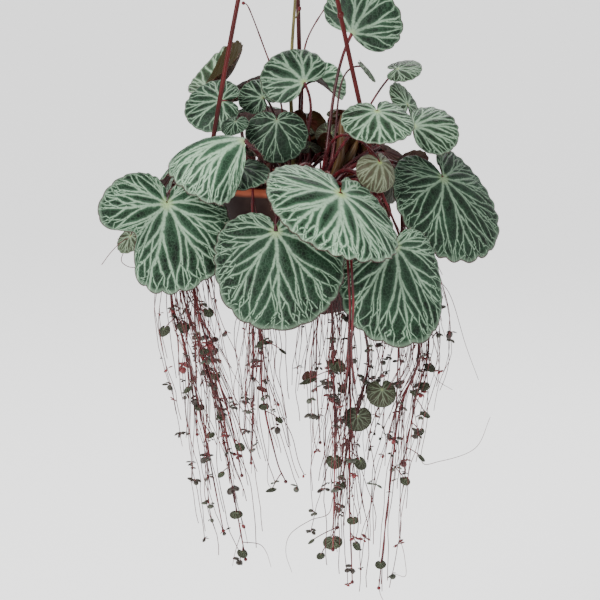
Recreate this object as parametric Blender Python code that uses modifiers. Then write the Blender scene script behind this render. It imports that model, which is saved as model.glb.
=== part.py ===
import math

import bmesh
import bpy
from mathutils import Vector

# The object hangs: the origin is the saddle inside the hook, +Z is up and -Y faces the viewer.
# Plant and pot positions below are in millimetres from the centre of the pot's rim.
MM = 0.001
RIM_DROP = 334.0            # hook saddle down to the rim

# Pot
RIM_RADIUS = 62.5
LIP_DEPTH = 6.0
LIP_WALL = 1.6
LIP_PLATE = 2.0
MOUTH_RADIUS = 56.5
BASE_RADIUS = 44.0
POT_HEIGHT = 86.0
WALL = 2.0
DRAIN_RADIUS = 3.5
DRAIN_CIRCLE = 24.0
DRAIN_COUNT = 4
LUG_RADIUS = 66.5           # circle that the strands come down on
LUG_SIZE = (11.0, 9.0, 3.0)
LUG_TOP = -1.2
LUG_HOLE = 2.0
POT_STEPS = 32

# Hanger
STRAND_RADIUS = 1.5
STRAND_ANGLES = {"left": 212.0, "right": 328.0, "back": 84.0}
STRAND_BOW = {"left": 3.0, "right": -3.0, "back": 0.0}
STRAND_TOP_RADIUS = 4.2
STRAND_SPANS = 8
BEAD_RADIUS = 3.2
HUB_RADIUS = 8.0
HUB_BOTTOM = 262.0
HUB_HEIGHT = 16.0
HOOK_ROD = 2.2
HOOK_INNER = 14.0

# Soil and crowns
GAP = 0.3
SOIL_LEVEL = -9.0
CROWN_RADIUS = 10.0
CROWNS = {"left": (-17.0, -14.0), "right": (19.0, -15.0), "back": (1.0, 17.0)}

# Leaves
BLADE_THICKNESS = 1.0
LARGE_LEAF = 30.0           # leaves at least this large get the finer blade mesh
LEAF_LENGTH = 0.3
LEAF_WIDTH = 1.08
SINUS = 172.0               # degrees from the midrib to the edge of the notch
LOBE = 11.0
BLADE_RIPPLE = 0.03         # height of the three waves round the margin, as a share of the leaf
STALK_SIDES = 1             # curve bevel resolution, six sides
STALK_RADIUS = 0.5          # of a leaf of no size; larger leaves have thicker stalks
STALK_GROWTH = 0.028
STALK_TAPER = 0.85
STALK_SPANS = 6

# Runners
RUNNER_RADIUS = 0.9
RUNNER_STEPS = 2
HANGING_LEG = 6.0           # first straight stretch off the crown
RISING_LEG = 14.0
PLANTLET_SPACING = 34.0
PLANTLET_SIZES = (4.2, 3.0, 5.0, 3.6)
PLANTLETS_BELOW = -72.0
BUD_FLATNESS = 0.35


def remove_everything():
    for item in list(bpy.data.objects):
        bpy.data.objects.remove(item, do_unlink=True)


def make_material(name, colour, roughness):
    made = bpy.data.materials.new(name)
    made.use_nodes = True
    shader = made.node_tree.nodes["Principled BSDF"]
    shader.inputs["Base Color"].default_value = (*colour, 1.0)
    shader.inputs["Roughness"].default_value = roughness
    shader.inputs["Metallic"].default_value = 0.0
    return made


def from_rim(x, y, z):
    return Vector((x, y, z - RIM_DROP)) * MM


def add_object(name, data, material, collection):
    made = bpy.data.objects.new(name, data)
    data.materials.append(material)
    collection.objects.link(made)
    return made


def add_cutter(name, data):
    made = bpy.data.objects.new(name, data)
    made.hide_render = True
    made.display_type = "WIRE"
    cutters.objects.link(made)
    return made


def boolean(target, tool, operation):
    cut = target.modifiers.new(tool.name, "BOOLEAN")
    cut.operation = operation
    cut.object = tool


def smooth_route(points, steps):
    # Catmull-Rom curve through the points, with steps samples for each span
    padded = [points[0] * 2 - points[1], *points, points[-1] * 2 - points[-2]]
    route = []
    for index in range(1, len(padded) - 2):
        before, start, end, after = padded[index - 1:index + 3]
        for step in range(steps):
            t = step / steps
            route.append(
                start + 0.5 * t * (end - before)
                + t * t * (before - 2.5 * start + 2 * end - 0.5 * after)
                + t ** 3 * (1.5 * start - 0.5 * before - 1.5 * end + 0.5 * after)
            )
    return route + [points[-1]]


def bezier(corners, steps):
    route = []
    for step in range(steps + 1):
        t = step / steps
        level = list(corners)
        while len(level) > 1:
            level = [a.lerp(b, t) for a, b in zip(level, level[1:])]
        route.append(level[0])
    return route


def tube_curve(name, route, radius, sides=STALK_SIDES, tip_scale=1.0):
    # A round bar along the route, in rim millimetres, thinning to tip_scale at its end
    curve = bpy.data.curves.new(name, "CURVE")
    curve.dimensions = "3D"
    curve.bevel_depth = radius * MM
    curve.bevel_resolution = sides
    curve.use_fill_caps = True
    spline = curve.splines.new("POLY")
    spline.points.add(len(route) - 1)
    for index, place in enumerate(route):
        spline.points[index].co = (*from_rim(*place), 1.0)
        spline.points[index].radius = 1.0 + (tip_scale - 1.0) * index / (len(route) - 1)
    return curve


def tube_mesh(name, route, radius, sides=STALK_SIDES, tip_scale=1.0):
    # The same bar as a mesh with welded caps, so that it can be joined to other solids
    curve = tube_curve(name, route, radius, sides, tip_scale)
    holder = bpy.data.objects.new(name, curve)
    bpy.context.scene.collection.objects.link(holder)
    bpy.context.view_layer.update()
    evaluated = holder.evaluated_get(bpy.context.evaluated_depsgraph_get())
    mesh = bpy.data.meshes.new_from_object(evaluated)
    bpy.data.objects.remove(holder, do_unlink=True)
    work = bmesh.new()
    work.from_mesh(mesh)
    bmesh.ops.remove_doubles(work, verts=work.verts, dist=1e-6)
    work.to_mesh(mesh)
    work.free()
    mesh.name = name
    return mesh


def turned(name, profile, material, steps=POT_STEPS):
    # A solid of revolution about the pot's axis from (radius, height) points, outer side last
    mesh = bpy.data.meshes.new(name)
    points = [from_rim(radius, 0.0, height) for radius, height in profile]
    mesh.from_pydata(points, [(i, i + 1) for i in range(len(points) - 1)], [])
    made = add_object(name, mesh, material, parts)
    spin = made.modifiers.new("turn", "SCREW")
    spin.axis = "Z"
    spin.steps = steps
    spin.render_steps = steps
    spin.use_merge_vertices = True
    spin.merge_threshold = 1e-5
    spin.use_normal_calculate = True
    return made


def around(radius, angle, height):
    turn = math.radians(angle)
    return Vector((radius * math.cos(turn), radius * math.sin(turn), height))


def make_pot():
    inside_base = BASE_RADIUS - WALL
    skirt_inner = RIM_RADIUS - LIP_WALL
    wall_top = MOUTH_RADIUS + WALL
    profile = [
        (0.0, -POT_HEIGHT + WALL),
        (inside_base, -POT_HEIGHT + WALL),
        (MOUTH_RADIUS, -1.0),
        (MOUTH_RADIUS + 1.0, 0.0),
        (RIM_RADIUS - 1.0, 0.0),
        (RIM_RADIUS, -1.0),
        (RIM_RADIUS, -LIP_DEPTH),
        (skirt_inner, -LIP_DEPTH),
        (skirt_inner, -LIP_PLATE),
        (wall_top, -LIP_PLATE),
        (BASE_RADIUS, -POT_HEIGHT),
        (0.0, -POT_HEIGHT),
    ]
    pot = turned("pot", profile, pot_plastic)
    for side, angle in STRAND_ANGLES.items():
        boolean(pot, make_lug(side, angle), "UNION")
        boolean(pot, make_bore("lug_hole_" + side, around(LUG_RADIUS, angle, LUG_TOP), LUG_HOLE), "DIFFERENCE")
    for index in range(DRAIN_COUNT):
        place = around(DRAIN_CIRCLE, 45.0 + 360.0 * index / DRAIN_COUNT, -POT_HEIGHT)
        boolean(pot, make_bore(f"drain_{index}", place, DRAIN_RADIUS), "DIFFERENCE")


def make_lug(side, angle):
    mesh = bpy.data.meshes.new("lug_" + side)
    work = bmesh.new()
    bmesh.ops.create_cube(work, size=1.0)
    for corner in work.verts:
        corner.co.x *= LUG_SIZE[0]
        corner.co.y *= LUG_SIZE[1]
        corner.co.z *= LUG_SIZE[2]
    work.to_mesh(mesh)
    work.free()
    lug = add_cutter("lug_" + side, mesh)
    lug.location = from_rim(*around(LUG_RADIUS, angle, LUG_TOP - LUG_SIZE[2] / 2))
    lug.rotation_euler.z = math.radians(angle)
    lug.scale = (MM, MM, MM)
    return lug


def make_bore(name, place, radius):
    mesh = bpy.data.meshes.new(name)
    work = bmesh.new()
    bmesh.ops.create_cone(
        work, cap_ends=True, segments=12, radius1=radius * MM, radius2=radius * MM, depth=14.0 * MM
    )
    work.to_mesh(mesh)
    work.free()
    bore = add_cutter(name, mesh)
    bore.location = from_rim(*place)
    return bore


def make_soil():
    floor = -POT_HEIGHT + WALL + GAP
    slope = (MOUTH_RADIUS - BASE_RADIUS + WALL) / (POT_HEIGHT - WALL - 1.0)
    shoulder = SOIL_LEVEL - 2.0
    shoulder_radius = MOUTH_RADIUS + slope * (shoulder + 1.0) - GAP
    bottom_radius = BASE_RADIUS - WALL - GAP
    profile = [
        (0.0, SOIL_LEVEL),
        (shoulder_radius - 3.0, SOIL_LEVEL),
        (shoulder_radius, shoulder),
        (bottom_radius, floor),
        (0.0, floor),
    ]
    turned("soil", profile, potting_mix)


def make_crown(side, centre):
    # A low dome on the soil
    mesh = bpy.data.meshes.new("crown_" + side)
    work = bmesh.new()
    bmesh.ops.create_uvsphere(work, u_segments=14, v_segments=8, radius=CROWN_RADIUS * MM)
    everything = work.verts[:] + work.edges[:] + work.faces[:]
    cut = bmesh.ops.bisect_plane(
        work, geom=everything, plane_co=(0, 0, 0), plane_no=(0, 0, -1), clear_outer=True, dist=1e-7
    )
    rim = [item for item in cut["geom_cut"] if isinstance(item, bmesh.types.BMEdge)]
    bmesh.ops.contextual_create(work, geom=rim)
    bmesh.ops.recalc_face_normals(work, faces=work.faces)
    work.to_mesh(mesh)
    work.free()
    crown = add_object("crown_" + side, mesh, stalk_red, parts)
    crown.location = from_rim(*centre, SOIL_LEVEL + GAP)


def crown_seat(crown, towards, elevation):
    # Point just off the crown's dome on the side that faces a target, and its outward direction
    centre = Vector((*CROWNS[crown], SOIL_LEVEL + GAP))
    heading = math.atan2(towards.y - centre.y, towards.x - centre.x)
    rise = math.radians(elevation)
    outward = Vector((math.cos(heading) * math.cos(rise), math.sin(heading) * math.cos(rise), math.sin(rise)))
    return centre + outward * (CROWN_RADIUS + GAP), outward


def make_hanger():
    top = HUB_BOTTOM + HUB_HEIGHT
    rod_circle = HOOK_INNER + HOOK_ROD
    eye = RIM_DROP - HOOK_INNER
    bend = [around(rod_circle, angle, 0.0) for angle in range(205, -60, -24)]
    route = [Vector((point.x, 0.0, eye + point.y)) for point in bend]
    route += [Vector((4.5, 0.0, eye - rod_circle - 5.0)), Vector((0.0, 0.0, eye - rod_circle - 13.0))]
    route += [Vector((0.0, 0.0, top - 4.0))]
    hub_profile = [
        (0.0, top + 2.0),
        (3.5, top + 1.5),
        (HUB_RADIUS - 1.5, top - 3.0),
        (HUB_RADIUS, top - 7.0),
        (HUB_RADIUS - 0.5, HUB_BOTTOM + 1.0),
        (HUB_RADIUS - 2.0, HUB_BOTTOM),
        (0.0, HUB_BOTTOM),
    ]
    hook = turned("hanger_hook", hub_profile, hanger_red, steps=16)
    rod = add_cutter("hook_rod", tube_mesh("hook_rod", smooth_route(route, 2), HOOK_ROD, sides=2))
    boolean(hook, rod, "UNION")
    for side, angle in STRAND_ANGLES.items():
        make_strand(side, angle)


def make_strand(side, angle):
    # Up through the lug, a shallow bow, and into the hub's underside
    foot = around(LUG_RADIUS, angle, 0.0)
    head = around(STRAND_TOP_RADIUS, angle, 0.0)
    outward = foot.normalized()
    bead_centre = LUG_TOP - LUG_SIZE[2] - GAP - BEAD_RADIUS
    head_height = HUB_BOTTOM - 2 * GAP
    route = [Vector((foot.x, foot.y, bead_centre)), Vector((foot.x, foot.y, LUG_TOP + 3.0))]
    for step in range(1, STRAND_SPANS):
        share = step / STRAND_SPANS
        place = foot.lerp(head, share) + outward * STRAND_BOW[side] * math.sin(math.pi * share)
        route.append(Vector((place.x, place.y, LUG_TOP + 3.0 + share * (head_height - LUG_TOP - 3.0))))
    route.append(Vector((head.x, head.y, head_height)))
    name = "hanger_strand_" + side
    strand = add_object(name, tube_mesh(name, route, STRAND_RADIUS, sides=2), hanger_red, parts)
    bead_mesh = bpy.data.meshes.new("bead_" + side)
    work = bmesh.new()
    bmesh.ops.create_uvsphere(work, u_segments=10, v_segments=6, radius=BEAD_RADIUS * MM)
    work.to_mesh(bead_mesh)
    work.free()
    bead = add_cutter("bead_" + side, bead_mesh)
    bead.location = from_rim(foot.x, foot.y, bead_centre)
    boolean(strand, bead, "UNION")


def leaf(name, junction, size, heading, pitch, roll=0.0, crown="left", lean=30.0, **shape):
    # heading, pitch and roll turn the midrib, which runs from the junction to the tip
    values = {"length": LEAF_LENGTH, "width": LEAF_WIDTH, "sinus": SINUS, "lobe": LOBE}
    values |= {"arch": 0.3, "arch_tip": 0.0, "arch_side": 0.0, "fold": 0.0, "tilt": 0.0}
    values |= {"dents": (), "lead": 0.6, "lift": 0.0}
    values |= shape
    values |= {"name": "leaf_" + name, "junction": Vector(junction), "size": size, "crown": crown}
    values |= {"heading": heading, "pitch": pitch, "roll": roll, "lean": lean}
    return values


LEAVES = [
    leaf("front", (31, -90, 1), 43, -88, -27, -26, "right", 40, arch=0.42, length=0.22, width=1.15,
         sinus=176, lobe=16, lift=6),
    leaf("low_front", (-10, -84, -24), 38, -84, -74, 0, "right", 55, arch=0.15, arch_tip=-0.2,
         length=0.7, width=0.98, dents=((-62, 26, 0.0, 0.10),), lead=0.9, lift=10),
    leaf("left", (-80, -70, -8), 39, -106, -68, -32, "left", 26, arch=0.2, length=0.5, fold=-0.15,
         dents=((-38, 20, 0.15, 0.45),), lead=0.3, lift=8),
    leaf("low_right", (67, -66, -36), 38, -68, -74, 0, "right", 38, arch=0.25, arch_side=-0.35,
         length=0.76, width=0.84, dents=((52, 30, 0.0, 0.12),), lead=0.9, lift=16),
    leaf("right", (101, -13, 2), 44, -42, -56, 6, "right", 32, arch=0.4, arch_tip=-0.2, width=1.0,
         length=0.36, lead=0.3, lift=22),
    leaf("upper_right", (81, -8, 36), 25, 0, 8, 42, "right", 50, arch=0.5, sinus=100, lobe=3),
    leaf("right_mid", (55, -54, 50), 22, -82, -36, 0, "right", 66, arch=0.4, arch_tip=-0.2),
    leaf("top_right", (40, 5, 97), 28, 15, 54, 62, "right", 78, arch=0.2, sinus=112, lobe=4),
    leaf("spinner", (71, 12, 73), 13, -10, 10, 28, "back", 30),
    leaf("edge", (49, 6, 75), 10, 0, -45, 6, "right", 62),
    leaf("folded", (78, 12, 49), 14, 100, 55, 40, "back", 14),
    leaf("crest", (8, 10, 64), 25, 155, 42, -48, "back", 72, arch=0.45, sinus=125, lobe=3),
    leaf("crest_right", (16, 46, 63), 18, -15, -25, 10, "back", 50, arch=0.2, fold=-0.7),
    leaf("top_left", (-55, 48, 58), 29, 0, 34, 12, "back", 8, arch=-0.6, lead=0.3),
    leaf("tilted", (-28, 56, 61), 17, 190, -20, 25, "back", 56, lead=0.3, lift=16),
    leaf("upper_left", (-47, -6, 53), 21, 175, -3, -45, "left", 46, arch=0.4, lead=0.9, lift=11),
    leaf("behind_crest", (-20, 22, 53), 14, 150, 40, -45, "back", 44, arch=0.4),
    leaf("inner", (-10, -20, 41), 17, -90, -72, 0, "left", 76, arch=0.2, length=0.7),
    leaf("mid_left", (-30, -68, 33), 44, -168, 10, 0, "left", 58, arch=0.95, fold=0.4, tilt=0.5,
         sinus=105, lobe=2.5, dents=((-75, 45, 0.0, 0.22),)),
    leaf("small_left", (-36, -44, 15), 17, -125, -26, 0, "left", 40),
    leaf("young", (57, -54, 17), 16.5, -60, -50, 0, "right", 80, arch=1.0, lead=0.9, lift=28),
    leaf("shaded_right", (76, 6, 6), 14, 20, 30, -60, "right", 14, lead=0.9, lift=8),
    leaf("grey", (-106, -40, -33), 10, -130, -50, 0, "left", 26, lead=0.9, lift=16),
    leaf("shade_left", (-37, -27, 41), 9, -120, -40, 0, "left", 44, lead=0.9),
    leaf("side_left", (-84, 14, -6), 31, 172, -60, 0, "left", 86, lead=0.3, lift=22),
    leaf("back_left", (-68, 44, 14), 32, 150, -34, 0, "back", 26, arch=0.5, lift=8),
    leaf("back_middle", (-26, 80, 0), 34, 108, -54, 0, "back", 44, lead=0.9, lift=8),
    leaf("back_right", (64, 50, 14), 34, 36, -38, 0, "back", 20, arch=0.4, lift=8),
    leaf("back_low", (36, 88, -20), 34, 70, -68, 0, "back", 26, lead=0.9, lift=16),
    leaf("back_top_left", (-24, 62, 44), 22, 118, -8, 0, "back", 26, arch=0.5, lead=0.3),
    leaf("back_top_right", (38, 50, 30), 24, 58, -12, 0, "back", 48, arch=0.5),
]


def leaf_axes(one):
    # Midrib direction, direction across the blade, and the upper face's normal
    heading, pitch, roll = (math.radians(one[key]) for key in ("heading", "pitch", "roll"))
    midrib = Vector((math.cos(heading) * math.cos(pitch), math.sin(heading) * math.cos(pitch), math.sin(pitch)))
    level = Vector((-math.sin(heading), math.cos(heading), 0.0))
    face = midrib.cross(level)
    across = level * math.cos(roll) + face * math.sin(roll)
    normal = face * math.cos(roll) - level * math.sin(roll)
    return midrib, across, normal


def blade_reach(one, angle):
    # Distance from the junction to the margin at an angle from the midrib, along the blade
    notch = max(0.0, 1.0 - (abs(angle) / math.radians(one["sinus"])) ** one["lobe"]) ** 0.5
    reach = one["size"] * (1.0 + one["length"] * math.cos(angle))
    reach /= math.hypot(math.cos(angle), math.sin(angle) / one["width"])
    for centre, spread, _height, shrink in one["dents"]:
        reach *= 1.0 - shrink * dent_share(angle, centre, spread)
    return reach * notch


def dent_share(angle, centre, spread):
    return math.exp(-((angle - math.radians(centre)) / math.radians(spread)) ** 2)


def blade_point(one, angle, share):
    # A point of the upper face: every ray from the junction is an arc that starts at its own slope
    size = one["size"]
    along = share * blade_reach(one, angle)
    bend = one["arch"] + one["arch_tip"] * math.cos(angle) + one["arch_side"] * math.cos(2 * angle)
    bend = (bend if abs(bend) > 1e-3 else 1e-3) / size
    slope = one["fold"] * math.sin(angle) ** 2 + one["tilt"] * math.sin(angle)
    flat = (math.sin(slope + bend * along) - math.sin(slope)) / bend
    height = (math.cos(slope + bend * along) - math.cos(slope)) / bend
    height += BLADE_RIPPLE * size * share ** 2 * math.sin(3 * angle)
    for centre, spread, rise, _shrink in one["dents"]:
        height += rise * size * share ** 2 * dent_share(angle, centre, spread)
    midrib, across, normal = leaf_axes(one)
    return one["junction"] + midrib * flat * math.cos(angle) + across * flat * math.sin(angle) + normal * height


def make_blade(one):
    # An open fan of rings round the junction; Solidify gives it its thickness
    large = one["size"] >= LARGE_LEAF
    spokes, rings = (16, 2) if large else (12, 2)
    edge = math.radians(one["sinus"]) * 0.985
    mesh = bpy.data.meshes.new(one["name"])
    work = bmesh.new()
    hub = work.verts.new(from_rim(*one["junction"]))
    grid = []
    for spoke in range(spokes + 1):
        angle = edge * (2 * spoke / spokes - 1)
        shares = [(ring + 1) / rings for ring in range(rings)]
        grid.append([work.verts.new(from_rim(*blade_point(one, angle, share))) for share in shares])
    for first, second in zip(grid, grid[1:]):
        work.faces.new((hub, first[0], second[0]))
        for ring in range(rings - 1):
            work.faces.new((first[ring], first[ring + 1], second[ring + 1], second[ring]))
    work.to_mesh(mesh)
    work.free()
    return mesh


def petiole_route(one):
    midrib, _across, normal = leaf_axes(one)
    seat, outward = crown_seat(one["crown"], one["junction"], one["lean"])
    end = one["junction"] - normal * BLADE_THICKNESS * 0.5
    arrival = (midrib * one["lead"] + normal * (1.0 - one["lead"])).normalized()
    span = (end - seat).length
    rise = seat + outward * span * 0.4 + Vector((0.0, 0.0, one["lift"]))
    return bezier([seat, rise, end - arrival * span * 0.33, end], STALK_SPANS)


def make_leaf(one):
    made = add_object(one["name"], make_blade(one), leaf_green, parts)
    skin = made.modifiers.new("thickness", "SOLIDIFY")
    skin.thickness = BLADE_THICKNESS * MM
    skin.offset = -1.0
    stalk_name = one["name"].replace("leaf", "stalk")
    radius = STALK_RADIUS + STALK_GROWTH * one["size"]
    stalk = add_cutter(stalk_name, tube_mesh(stalk_name, petiole_route(one), radius, tip_scale=STALK_TAPER))
    boolean(made, stalk, "UNION")


# Each runner leaves its crown, crosses the rim and hangs; its points are chosen by hand
RUNNERS = {
    "left_1": ("left", [(-61, -16, 4), (-69, -20, -2), (-76, -38, -36), (-71, -48, -72), (-62, -52, -100),
                        (-49, -52, -147), (-38, -52, -209), (-31, -52, -250)]),
    "left_2": ("left", [(-63, -6, 5), (-71, -9, -1), (-80, -30, -36), (-79, -42, -75), (-70, -46, -108),
                        (-58, -47, -165), (-46, -46, -232)]),
    "left_3": ("left", [(-58, -24, 4), (-66, -32, -3), (-68, -52, -34), (-62, -60, -75), (-54, -62, -104),
                        (-41, -61, -150), (-33, -60, -190)]),
    "front_1": ("left", [(-23, -60, 4), (-25, -67, -4), (-24, -71, -50), (-20, -72, -96), (-19, -70, -133),
                         (-10, -68, -177), (-4, -68, -192)]),
    "middle_1": ("right", [(30, -57, 4), (34, -64, -3), (37, -63, -40), (37, -60, -75), (38, -66, -137),
                           (38, -70, -204), (40, -70, -260)]),
    "middle_2": ("right", [(42, -49, 5), (46, -55, -3), (47, -62, -40), (45, -60, -78), (50, -54, -118),
                           (37, -62, -170), (30, -62, -225)]),
    "middle_3": ("right", [(17, -61, 4), (20, -68, -4), (23, -74, -46), (26, -77, -80), (27, -78, -120),
                           (28, -78, -165), (27, -76, -236)]),
    "right_1": ("right", [(49, -41, 4), (57, -47, -1), (76, -54, -50), (83, -58, -109), (71, -58, -146),
                          (64, -58, -207), (58, -58, -268)]),
    "right_2": ("right", [(61, -20, 4), (69, -24, -1), (84, -42, -50), (90, -50, -104), (82, -50, -140),
                          (74, -50, -185)]),
    "side_left": ("left", [(-59, 22, 4), (-65, 25, -3), (-68, 22, -40), (-67, 17, -110), (-66, 13, -180)]),
    "side_right": ("right", [(63, 6, 4), (70, 7, -3), (76, 8, -45), (73, 8, -120), (71, 6, -190)]),
    "back_1": ("back", [(-24, 59, 4), (-27, 66, -3), (-30, 72, -45), (-28, 70, -130), (-30, 69, -215)]),
    "back_2": ("back", [(18, 61, 4), (20, 68, -3), (20, 74, -60), (17, 71, -140), (20, 70, -200)]),
}
RISING_RUNNERS = {
    "rising_left": ("back", [(-7, 36, 44), (-12, 35, 66), (-18, 33, 83), (-29, 32, 112), (-33, 32, 116)]),
    "rising_right": ("back", [(7, 26, 50), (9, 37, 87), (22, 37, 112), (26, 37, 117)]),
}
# Larger leaves among the plantlets, as (share of the runner, radius, sideways turn)
LARGE_PLANTLETS = {
    "left_1": [(0.34, 7.0, 200.0)],
    "left_2": [(0.36, 6.0, 180.0)],
    "middle_1": [(0.52, 10.0, 300.0)],
    "middle_2": [(0.55, 12.5, -20.0), (0.70, 7.0, 20.0)],
    "middle_3": [(0.50, 8.5, 190.0), (0.80, 6.5, 230.0)],
}
RUNNER_LEAN = {"left_1": 12, "left_2": 27, "left_3": 10, "front_1": 12, "middle_1": 10, "middle_2": 24,
               "middle_3": 12, "right_1": 10, "right_2": 18, "side_left": 14, "side_right": 34,
               "back_1": 12, "back_2": 12, "rising_left": 67, "rising_right": 68}


def plantlet(work, place, radius, turn):
    # A flat faceted bud beside the runner, its edge sunk into the stem
    heading = math.radians(turn)
    side = Vector((math.cos(heading), math.sin(heading), 0.0))
    centre = place + side * radius * 0.8 + Vector((0.0, 0.0, -BUD_FLATNESS * radius))
    made = bmesh.ops.create_uvsphere(work, u_segments=7, v_segments=2, radius=radius * MM)
    for corner in made["verts"]:
        corner.co.z *= BUD_FLATNESS
        corner.co = corner.co + from_rim(*centre)


def make_runner(name, crown, points, hanging):
    first = Vector(points[0])
    seat, outward = crown_seat(crown, first, RUNNER_LEAN[name])
    leg = HANGING_LEG if hanging else RISING_LEG
    corners = [seat, seat + outward * leg] + [Vector(point) for point in points]
    route = smooth_route(corners, RUNNER_STEPS)
    label = "runner_" + name
    made = add_object(label, tube_mesh(label, route, RUNNER_RADIUS, tip_scale=0.7), runner_red, parts)
    work = bmesh.new()
    if hanging:
        add_plantlets(work, name, route)
    else:
        plantlet(work, route[-1], 1.8, 90.0)
    mesh = bpy.data.meshes.new("buds_" + name)
    work.to_mesh(mesh)
    work.free()
    boolean(made, add_cutter("buds_" + name, mesh), "UNION")


def add_plantlets(work, name, route):
    # Small ones at even steps down the hanging part, and the larger ones where they are listed
    lengths = [0.0]
    for before, after in zip(route, route[1:]):
        lengths.append(lengths[-1] + (after - before).length)
    large = [(share * lengths[-1], radius, turn) for share, radius, turn in LARGE_PLANTLETS.get(name, [])]
    spots = list(large)
    start = next(i for i, place in enumerate(route) if place.z < PLANTLETS_BELOW)
    reach = lengths[start]
    count = 0
    while reach < lengths[-1] - 2.0:
        size = PLANTLET_SIZES[count % len(PLANTLET_SIZES)]
        if all(abs(reach - other) > radius + size + 2.0 for other, radius, _turn in large):
            spots.append((reach, size, 137.0 * count + 40.0 * len(name)))
        reach += PLANTLET_SPACING
        count += 1
    for reach, radius, turn in spots:
        index = next(i for i, length in enumerate(lengths) if length >= reach)
        span = lengths[index] - lengths[index - 1]
        share = (reach - lengths[index - 1]) / span
        plantlet(work, route[index - 1].lerp(route[index], share), radius, turn)


def make_flower_stalk():
    # The thin stalk of a flower spray that has only small buds so far
    seat, outward = crown_seat("back", Vector((-1, 33, 57)), 86.0)
    corners = [seat, seat + outward * 20.0]
    corners += [Vector(point) for point in ((-1, 33, 57), (0, 34, 87), (2, 32, 118), (3, 25, 150))]
    route = smooth_route(corners, 3)
    stalk = add_object("flower_stalk", tube_mesh("flower_stalk", route, 1.5, tip_scale=0.5), stalk_olive, parts)
    work = bmesh.new()
    for share, turn in ((0.70, 20.0), (0.80, 160.0), (0.90, 280.0), (1.0, 60.0)):
        plantlet(work, route[round(share * (len(route) - 1))], 2.0, turn)
    mesh = bpy.data.meshes.new("flower_buds")
    work.to_mesh(mesh)
    work.free()
    boolean(stalk, add_cutter("flower_buds", mesh), "UNION")


remove_everything()
parts = bpy.data.collections.new("potted_strawberry_begonia")
cutters = bpy.data.collections.new("cutters")
for group in (parts, cutters):
    bpy.context.scene.collection.children.link(group)
pot_plastic = make_material("pot_plastic", (0.42, 0.13, 0.08), 0.5)
hanger_red = make_material("hanger_red", (0.28, 0.03, 0.03), 0.4)
potting_mix = make_material("potting_mix", (0.04, 0.025, 0.018), 0.95)
leaf_green = make_material("leaf_green", (0.12, 0.24, 0.16), 0.45)
stalk_red = make_material("stalk_red", (0.25, 0.02, 0.03), 0.4)
stalk_olive = make_material("stalk_olive", (0.22, 0.20, 0.05), 0.5)
runner_red = make_material("runner_red", (0.20, 0.03, 0.03), 0.45)

make_pot()
make_soil()
for crown_side, crown_centre in CROWNS.items():
    make_crown(crown_side, crown_centre)
make_hanger()
for leaf_values in LEAVES:
    make_leaf(leaf_values)
for runner_name, (runner_crown, runner_points) in RUNNERS.items():
    make_runner(runner_name, runner_crown, runner_points, True)
for runner_name, (runner_crown, runner_points) in RISING_RUNNERS.items():
    make_runner(runner_name, runner_crown, runner_points, False)
make_flower_stalk()
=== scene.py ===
import math

import bmesh
import bpy
import numpy as np
from mathutils import Matrix, Vector


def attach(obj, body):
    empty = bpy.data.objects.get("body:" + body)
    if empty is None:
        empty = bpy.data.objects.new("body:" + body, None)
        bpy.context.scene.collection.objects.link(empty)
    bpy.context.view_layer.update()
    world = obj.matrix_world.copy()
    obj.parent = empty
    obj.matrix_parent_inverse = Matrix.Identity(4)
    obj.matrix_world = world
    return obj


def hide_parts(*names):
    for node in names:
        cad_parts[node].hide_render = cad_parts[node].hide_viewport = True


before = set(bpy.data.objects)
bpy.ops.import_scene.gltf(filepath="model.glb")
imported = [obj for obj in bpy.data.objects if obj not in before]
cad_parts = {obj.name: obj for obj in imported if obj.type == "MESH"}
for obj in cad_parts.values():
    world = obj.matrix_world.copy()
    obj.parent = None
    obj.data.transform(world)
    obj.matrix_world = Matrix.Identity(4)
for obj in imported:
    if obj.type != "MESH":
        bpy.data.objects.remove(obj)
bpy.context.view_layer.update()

# Places on the plant and the pot are in millimetres from the centre of the pot's rim, as in part.py
mm = 0.001
rimDrop = 334.0


def toRow(places):
    shifted = np.asarray(places, float) - np.array([0.0, 0.0, rimDrop])
    return shifted * mm


def shell(places, faces, slot=0, veins=None, flat=None, share=None):
    # One closed skin: faces is a list of index arrays, one array for each corner count
    places = np.asarray(places, float)
    return {"places": places, "faces": [np.asarray(f, int) for f in faces], "slot": slot,
            "veins": veins, "flat": flat, "share": share}


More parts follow.
